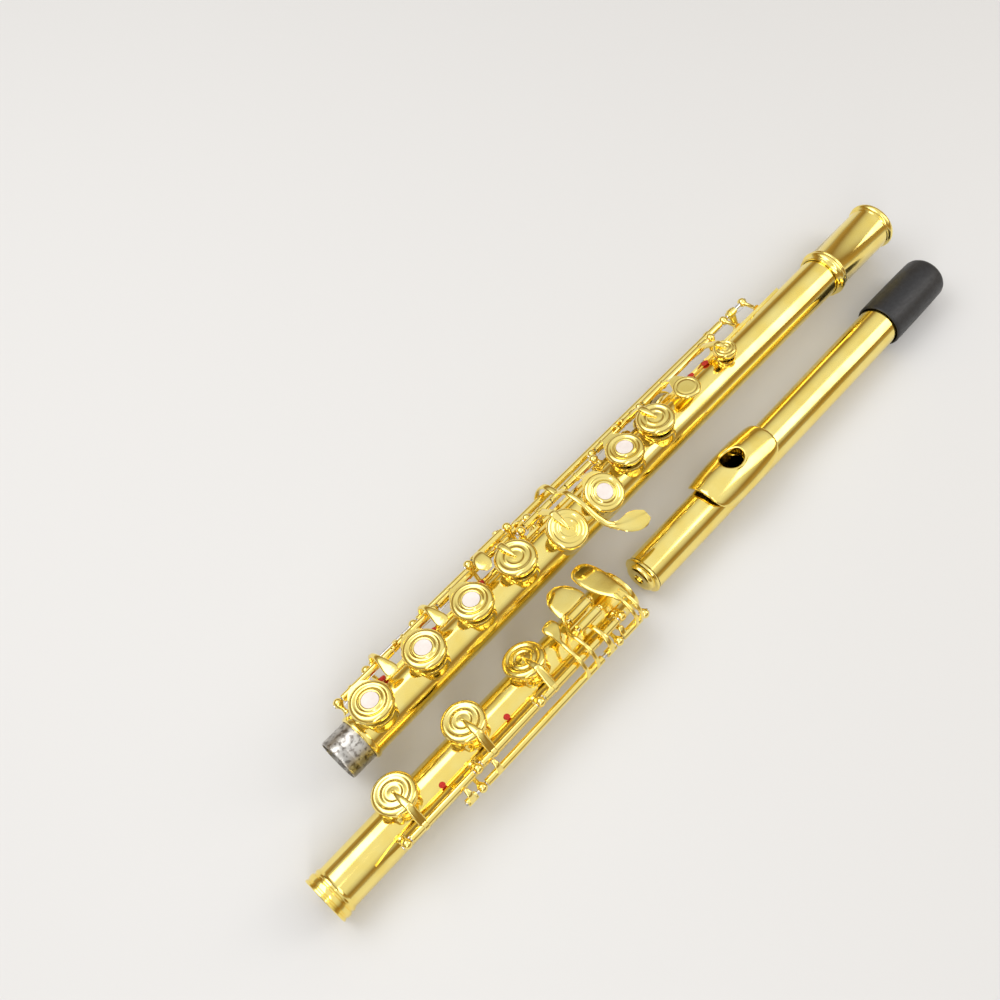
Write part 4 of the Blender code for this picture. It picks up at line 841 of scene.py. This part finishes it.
def make_d_sharp():
    tail_x = 157.2
    shape = Shape()
    closed_cup(shape, FOOT_D_SHARP_CUP)
    pointed_arm(shape, FOOT_D_SHARP_CUP, FOOT_LINE)
    sleeve(shape, 113.5, 158.1, FOOT_LINE)
    shape.bar([(tail_x, -14.7, 4.9), (tail_x, -14.6, 3.4), (tail_x, -14.5, 1.9)],
              (3.0, 2.8, 2.4), (1.6, 1.4, 1.0))
    shape.place_gold("d_sharp_key", FOOT)
    pad_look("d_sharp_pad", "d_sharp_key", FOOT, FOOT_D_SHARP_CUP)
    shape = Shape()
    x = 163.0
    shape.bar(line_path(x, [(0.8, 30.0, 21.3), (0.9, 24.5, 20.0), (1.1, 10.6, 18.0), (1.3, -8.0, 17.2),
                            (1.6, -24.0, 18.2), (1.9, -36.0, 20.0), (2.2, -46.0, 21.4)]),
              (5.0, 9.4, 11.4, 11.2, 9.4, 7.0, 5.4), (1.0, 1.5, 1.7, 1.7, 1.6, 1.5, 1.4), 24)
    for shift in (0.4, 3.5):
        shape.bar(line_path(x, [(shift * 0.8 + 0.2, -38.0, 20.6), (shift, -52.0, 22.0), (shift, -68.0, 22.4),
                                (shift, -82.0, 20.4), (shift, -89.0, 18.9)]),
                  (1.8, 1.7, 1.6, 1.6, 1.8), (1.5, 1.4, 1.4, 1.4, 1.4))
    shape.bar([(tail_x, -17.3, 0.8), (tail_x, -16.9, 2.4), (tail_x, -16.3, 3.8)],
              (3.0, 2.8, 2.4), (1.8, 1.6, 1.2))
    sleeve(shape, 155.8, 167.4, FOOT_LEVER_LINE)
    shape.place_gold("d_sharp_lever", FOOT)


def roller_yoke(shape, line):
    angle, out = line
    start, end = ROLLER_START, ROLLER_END
    rod(shape, 0.6, start - 1.2, end + 1.2, line, 1)
    shape.bar([(start - 1.3, *polar(angle, out - 3.5)), (end + 1.3, *polar(angle, out - 3.5))],
              (1.6, 1.6), (1.2, 1.2), 12, (0.0, 1.0, 0.0))
    for x in (start - 0.9, end + 0.9):
        shape.bar([(x, *polar(angle, out - 3.9)), (x, *polar(angle, out + 0.9))], (1.1, 1.1), (2.8, 2.2), 14)


def make_foot_levers():
    line = FOOT_LEVER_LINE
    shape = Shape()
    shape.bar(line_path(149.4, [(0.0, -4.5, 16.9), (0.0, 3.0, 17.2), (0.0, 14.0, 18.4), (0.0, 24.0, 20.3),
                                (0.0, 31.0, 22.0)]),
              (14.8, 15.2, 14.2, 11.0, 5.0), (1.3, 1.6, 1.6, 1.5, 0.9), 24)
    shape.bar([(141.9, *polar(-17.0, 14.2)), (142.3, *polar(-9.0, 15.4)), (144.6, *polar(0.5, 17.1))],
              (2.0, 2.0, 2.0), (2.0, 2.0, 1.4))
    shape.bar(line_path(139.2, [(0.0, -89.0, 18.7), (0.0, -76.0, 20.6), (0.0, -58.0, 20.8),
                                (0.0, -42.0, 18.4), (0.0, -30.0, 15.8), (2.7, -17.0, 14.2)]),
              (2.4, 1.9, 1.8, 1.8, 1.8, 1.8), (1.6, 1.6, 1.5, 1.5, 1.4, 1.4))
    shape.bar(line_path(80.6, [(0.0, -90.0, 18.8), (0.0, -78.0, 19.8), (0.0, -70.0, 18.9)]),
              (3.0, 2.6, 2.0), (1.5, 1.3, 1.0))
    sleeve(shape, 73.7, 143.2, line)
    shape.bar(line_path(136.4, [(-3.2, -89.0, 18.7), (-3.2, -76.0, 20.4), (-3.2, -58.0, 20.4),
                                (-3.0, -40.0, 18.2), (-2.2, -25.0, 16.2), (-0.8, -12.0, 15.4),
                                (0.0, -1.0, 15.5), (0.4, 8.0, 16.0), (0.4, 11.5, 16.2)]),
              (2.4, 1.9, 1.8, 1.8, 2.2, 5.2, 7.4, 6.2, 3.6),
              (1.6, 1.6, 1.5, 1.4, 1.3, 1.4, 1.5, 1.3, 0.9), 20)
    roller_yoke(shape, UPPER_ROLLER_LINE)
    shape.place_gold("c_sharp_lever", FOOT)
    shape = Shape()
    rod(shape, 0.85, 62.0, 171.5, line, 1)
    rod(shape, HINGE_R, 145.4, 150.8, line)
    rod(shape, HINGE_R, 62.6, 67.8, line)
    shape.bar(line_path(148.0, [(0.0, -89.0, 18.8), (0.0, -76.0, 20.4), (0.0, -62.0, 20.0),
                                (0.0, -50.0, 17.2), (0.0, -41.0, 14.4), (0.0, -35.0, 13.3)]),
              (3.0, 2.6, 2.4, 2.2, 2.2, 2.0), (1.6, 1.5, 1.5, 1.5, 1.4, 1.2))
    shape.bar(line_path(65.2, [(0.0, -90.0, 18.8), (0.0, -78.0, 19.8), (0.0, -70.0, 18.9)]),
              (3.4, 2.8, 2.0), (1.5, 1.3, 1.0))
    roller_yoke(shape, LOWER_ROLLER_LINE)
    shape.place_gold("c_lever", FOOT)
    for name, roller_line in (("upper_roller", UPPER_ROLLER_LINE), ("lower_roller", LOWER_ROLLER_LINE)):
        shape = Shape()
        sleeve(shape, ROLLER_START + 0.3, ROLLER_END - 0.3, roller_line, 2.2, 0.9)
        shape.place(name + "_look", name, FOOT, [name], "gold")


# ---------------------------------------------------------------- head


EMBOUCHURE_X = 67.5
HOLE_HALF_LENGTH = 6.0
HOLE_HALF_WIDTH = 5.1
HEAD_LENGTH = 218.0


def head_outer(x):
    taper = 1.0 - x / HEAD_LENGTH
    return TUBE_R - 0.05 - 0.9 * taper ** 1.6


def oval(grow, out, count):
    """A ring of points round the blow hole, this much wider than it."""
    ring = []
    for step in range(count):
        turn = 2.0 * math.pi * step / count
        ring.append((EMBOUCHURE_X + (HOLE_HALF_LENGTH + grow) * math.cos(turn),
                     (HOLE_HALF_WIDTH + grow) * math.sin(turn), out))
    return ring


def make_head_tube():
    places = [4.0 + 3.0 * step for step in range(72)]
    profile = [(head_outer(x), x) for x in places] + [(head_outer(x) - 0.45, x) for x in reversed(places)]
    shape = Shape()
    shape.turned(profile, along(), TUBE_STEPS, loop=True)
    tube = shape.place("head_tube_look", "head_section", HEAD, ["head_tube"], "gold")
    hole = Shape().lofted([oval(0.0, out, 64) for out in (3.0, 16.0)])
    to_metres = Matrix.Scale(MM, 4) @ HEAD
    cutter = solid_object([to_metres @ Vector(point) for point in hole.points], hole.faces)
    bored = cut_mesh(tube, [cutter])
    tube.modifiers.clear()
    tube.data = bored


LIP_HALF_LENGTH = 22.0
LIP_HALF_ANGLE = 78.0
RISER_TOP = 13.2


def lip_out(share, turn):
    """How far out the lip plate's top stands, by its place along the tube and round it."""
    return 14.4 - 1.5 * share * share - 2.0 * (turn / LIP_HALF_ANGLE) ** 2


def lip_point(direction, reach, lower):
    """A point of the plate: 0 is the blow hole's edge, 1 the plate's outline."""
    c, s = math.cos(direction), math.sin(direction)
    inner_x, inner_turn = HOLE_HALF_LENGTH * c, math.degrees(HOLE_HALF_WIDTH * s / RISER_TOP)
    outer_c = math.copysign(abs(c) ** 0.52, c)
    outer_s = math.copysign(abs(s) ** 0.60, s)
    outer_x, outer_turn = LIP_HALF_LENGTH * outer_c, LIP_HALF_ANGLE * outer_s
    x = inner_x + (outer_x - inner_x) * reach
    turn = inner_turn + (outer_turn - inner_turn) * reach
    out = lip_out(x / LIP_HALF_LENGTH, turn) - lower
    return (EMBOUCHURE_X + x, *polar(turn, out))


def make_lip_plate():
    count = 96
    rows = [(0.0, 3.2), (0.0, 1.2), (0.0, 0.35), (0.012, 0.08), (0.035, 0.0), (0.12, 0.0), (0.25, 0.0),
            (0.4, 0.0), (0.55, 0.0), (0.7, 0.0), (0.82, 0.0), (0.92, 0.02), (0.975, 0.1), (0.997, 0.3),
            (1.0, 0.65), (0.99, 1.0), (0.96, 1.2), (0.8, 1.2), (0.55, 1.2), (0.3, 1.2), (0.2, 1.2)]
    rings = [[lip_point(2.0 * math.pi * step / count, reach, lower) for step in range(count)]
             for reach, lower in rows]
    wall = 1.3
    loop = [oval(0.0, 8.9, count)] + rings + [oval(wall, RISER_TOP, count), oval(wall, 9.3, count)]
    shape = Shape()
    points = [Vector(point) for ring in loop for point in ring]
    faces = []
    total = len(loop)
    for row in range(total):
        below = (row + 1) % total
        for index in range(count):
            after = (index + 1) % count
            faces.append((row * count + index, row * count + after,
                          below * count + after, below * count + index))
    shape.add(points, faces)
    shape.place("lip_plate_look", "head_section", HEAD, ["lip_plate"], "gold", sharp=50.0)


def make_crown():
    outside = [(2.3, 0.5), (2.6, 0.2), (3.0, 0.05), (5.6, 0.0), (6.4, 0.15), (6.9, 0.55), (7.1, 1.1),
               (7.15, 1.8), (7.4, 2.05), (8.6, 2.1), (9.1, 2.25), (9.35, 2.6), (9.35, 3.1), (9.15, 3.5),
               (8.9, 3.8), (8.2, 3.85), (8.2, 14.0), (2.3, 14.0)]
    shape = Shape().turned([(radius, x) for radius, x in outside], along(), TUBE_STEPS, loop=True)
    shape.place("crown_look", "crown", HEAD, ["crown"], "gold")


def make_cap():
    rings = [(0.0, 220.7), (4.0, 220.8), (7.2, 220.9), (8.6, 220.6), (9.7, 219.9), (10.4, 218.9),
             (10.8, 217.6), (11.0, 209.0), (11.15, 194.0), (11.2, 181.5), (11.2, 180.3), (11.05, 179.8),
             (10.8, 179.5), (10.5, 179.5), (10.25, 179.8), (10.25, 219.0), (0.0, 219.0)]
    shape = Shape().turned(rings, along(), TUBE_STEPS)
    shape.place("tenon_cap_look", "tenon_cap", HEAD, ["tenon_cap"], "black", (BLACK,))


# ---------------------------------------------------------------- small parts


def needle(shape, x, length, line, side=1.0, sweep=1.0):
    """A needle spring: it leaves a post beside the rod and bears on a catch of the next key."""
    start = Vector((x, *polar(line[0], line[1] - 2.4)))
    end = Vector((x + length, *polar(line[0] + side * 4.0, line[1] - 2.4 + sweep)))
    shape.bar([start, start.lerp(end, 0.5), end], (0.42, 0.40, 0.30), (0.42, 0.40, 0.30), 10, (0.0, 1.0, 0.2))


def make_springs():
    shape = Shape()
    for x, length in ((3.6, 22.0), (58.0, -22.0), (58.0, 20.0), (115.2, -22.0), (158.0, 12.0), (190.8, -12.0),
                      (242.4, -18.0)):
        needle(shape, x, length, MAIN_LINE, -1.0)
    for x, length in ((258.0, -9.0), (272.4, -8.0)):
        needle(shape, x, length, TRILL_LINE)
    for x, length in ((107.6, 9.0), (154.6, -10.0)):
        needle(shape, x, length, OFFSET_LINE)
    shape.place("body_needle_springs", "body_section", BODY, (), "steel", (STEEL,))
    shape = Shape()
    for x, length in ((35.6, 16.0), (74.6, 16.0), (111.0, 18.0)):
        needle(shape, x, length, FOOT_LINE, 1.0)
    needle(shape, 169.9, -14.0, FOOT_LEVER_LINE, -1.0)
    shape.place("foot_needle_springs", "foot_section", FOOT, (), "steel", (STEEL,))


def felt_pad(shape, x, angle, out, radius=1.7):
    profile = [(0.0, 0.9), (radius - 0.2, 0.9), (radius, 0.7), (radius, 0.0), (0.0, 0.0)]
    shape.turned(profile, facing(x, angle, out), 24)


def make_felts():
    shape = Shape()
    for x, angle, out in ((22.5, 50.0, 11.0), (51.0, 46.0, 10.6), (79.5, 46.0, 10.6), (219.0, 44.0, 10.6),
                          (228.5, 40.0, 10.4), (150.0, 30.0, 10.4)):
        felt_pad(shape, x, angle, out)
    shape.place("body_felts", "body_section", BODY, (), "pad", (FELT,))
    shape = Shape()
    for x, angle, out in ((61.0, -50.0, 9.9), (98.0, -50.0, 9.9)):
        felt_pad(shape, x, angle, out, 1.3)
    shape.place("foot_felts", "foot_section", FOOT, (), "pad", (FELT,))


def paint_rest():
    """The rods and the stopper keep their solid shape and only take better materials."""
    looks = {"steel": STEEL, "gold": GOLD, "silver": SILVER, "pad": PAD, "plug": PLUG, "black": BLACK,
             "cork": CORK}
    slots = {row["node"]: row["material_slot"] for row in frame["record"]["subparts"]}
    for name, obj in frame["nodes"].items():
        obj.data.materials.clear()
        obj.data.materials.append(looks[slots[name]])


# ---------------------------------------------------------------- studio

# The camera's place in millimetres from the body's origin, and the way it looks.
CAMERA_PLACE = (-48.9, -121.7, 455.5)
CAMERA_WAY = (0.3243, 0.3015, -0.8966)
CAMERA_LENS = 41.65
CAMERA_SENSOR = 36.0
WORLD_STRENGTH = 0.92


def make_floor():
    """A wide pale plane just under the flute."""
    mesh = bpy.data.meshes.new("floor")
    half, level = 3.0, -0.0002
    corners = [(-half, -half, level), (half, -half, level), (half, half, level), (-half, half, level)]
    mesh.from_pydata(corners, [], [(0, 1, 2, 3)])
    floor = linked("floor", mesh)
    material = bpy.data.materials.new("floor")
    material.use_nodes = True
    shader = material.node_tree.nodes["Principled BSDF"]
    shader.inputs["Base Color"].default_value = (0.70, 0.70, 0.70, 1.0)
    shader.inputs["Roughness"].default_value = 0.75
    mesh.materials.append(material)


def area_light(name, place, target, size, power, colour=(1.0, 1.0, 1.0)):
    data = bpy.data.lights.new(name, "AREA")
    data.shape = "RECTANGLE"
    data.size, data.size_y = size
    data.energy = power
    data.color = colour
    light = linked(name, data)
    light.location = place
    way = Vector(target) - Vector(place)
    light.rotation_euler = way.to_track_quat("-Z", "Y").to_euler()


def make_world():
    """Bright above, with a dim warm band at the sides for the polished metal to mirror."""
    world = bpy.data.worlds.new("studio")
    bpy.context.scene.world = world
    world.use_nodes = True
    tree = world.node_tree
    background = tree.nodes["Background"]
    place = tree.nodes.new("ShaderNodeTexCoord").outputs["Generated"]
    split = tree.nodes.new("ShaderNodeSeparateXYZ")
    tree.links.new(place, split.inputs["Vector"])
    made = tree.nodes.new("ShaderNodeValToRGB")
    elements = made.color_ramp.elements
    elements[0].position, elements[0].color = 0.0, (0.55, 0.55, 0.56, 1.0)
    elements[1].position, elements[1].color = 1.0, (1.0, 1.0, 1.0, 1.0)
    for at, colour in ((0.5, (0.5, 0.5, 0.5, 1.0)), (0.56, (0.45, 0.30, 0.12, 1.0)),
                       (0.68, (0.30, 0.20, 0.08, 1.0)), (0.78, (0.70, 0.68, 0.64, 1.0)),
                       (0.88, (0.95, 0.95, 0.95, 1.0))):
        element = elements.new(at)
        element.color = colour
    remap = tree.nodes.new("ShaderNodeMapRange")
    remap.inputs["From Min"].default_value = -1.0
    remap.inputs["From Max"].default_value = 1.0
    tree.links.new(split.outputs["Z"], remap.inputs["Value"])
    tree.links.new(remap.outputs["Result"], made.inputs["Fac"])
    tree.links.new(made.outputs["Color"], background.inputs["Color"])
    background.inputs["Strength"].default_value = WORLD_STRENGTH


def plain_colours():
    """Polished gold keeps its colour when no film curve flattens it."""
    bpy.context.scene.view_settings.view_transform = "Standard"


def make_camera():
    """From above the foot end, looking along the tubes."""
    data = bpy.data.cameras.new("camera")
    data.sensor_width = CAMERA_SENSOR
    data.lens = CAMERA_LENS
    camera = linked("camera", data)
    camera.location = (BODY_ORIGIN + Vector(CAMERA_PLACE)) * MM
    camera.rotation_euler = Vector(CAMERA_WAY).to_track_quat("-Z", "Y").to_euler()
    bpy.context.scene.camera = camera


make_body_static()
make_main_keys()
make_index_key()
make_g_sharp_key()
make_trill_keys()
make_b_flat_lever()
make_thumb_keys()
make_foot_static()
make_d_sharp()
make_foot_levers()
make_head_tube()
make_lip_plate()
make_crown()
make_cap()
make_springs()
make_felts()
paint_rest()
make_floor()
make_world()
area_light("key", (-0.25, 0.45, 0.75), (0.0, 0.0, 0.0), (0.7, 0.5), 3.0)
area_light("fill", (0.55, -0.35, 0.55), (0.0, 0.0, 0.0), (0.35, 0.6), 1.5, (1.0, 0.97, 0.93))
area_light("strip", (-0.45, -0.35, 0.5), (0.0, 0.0, 0.0), (0.08, 0.9), 1.2)
make_camera()
plain_colours()
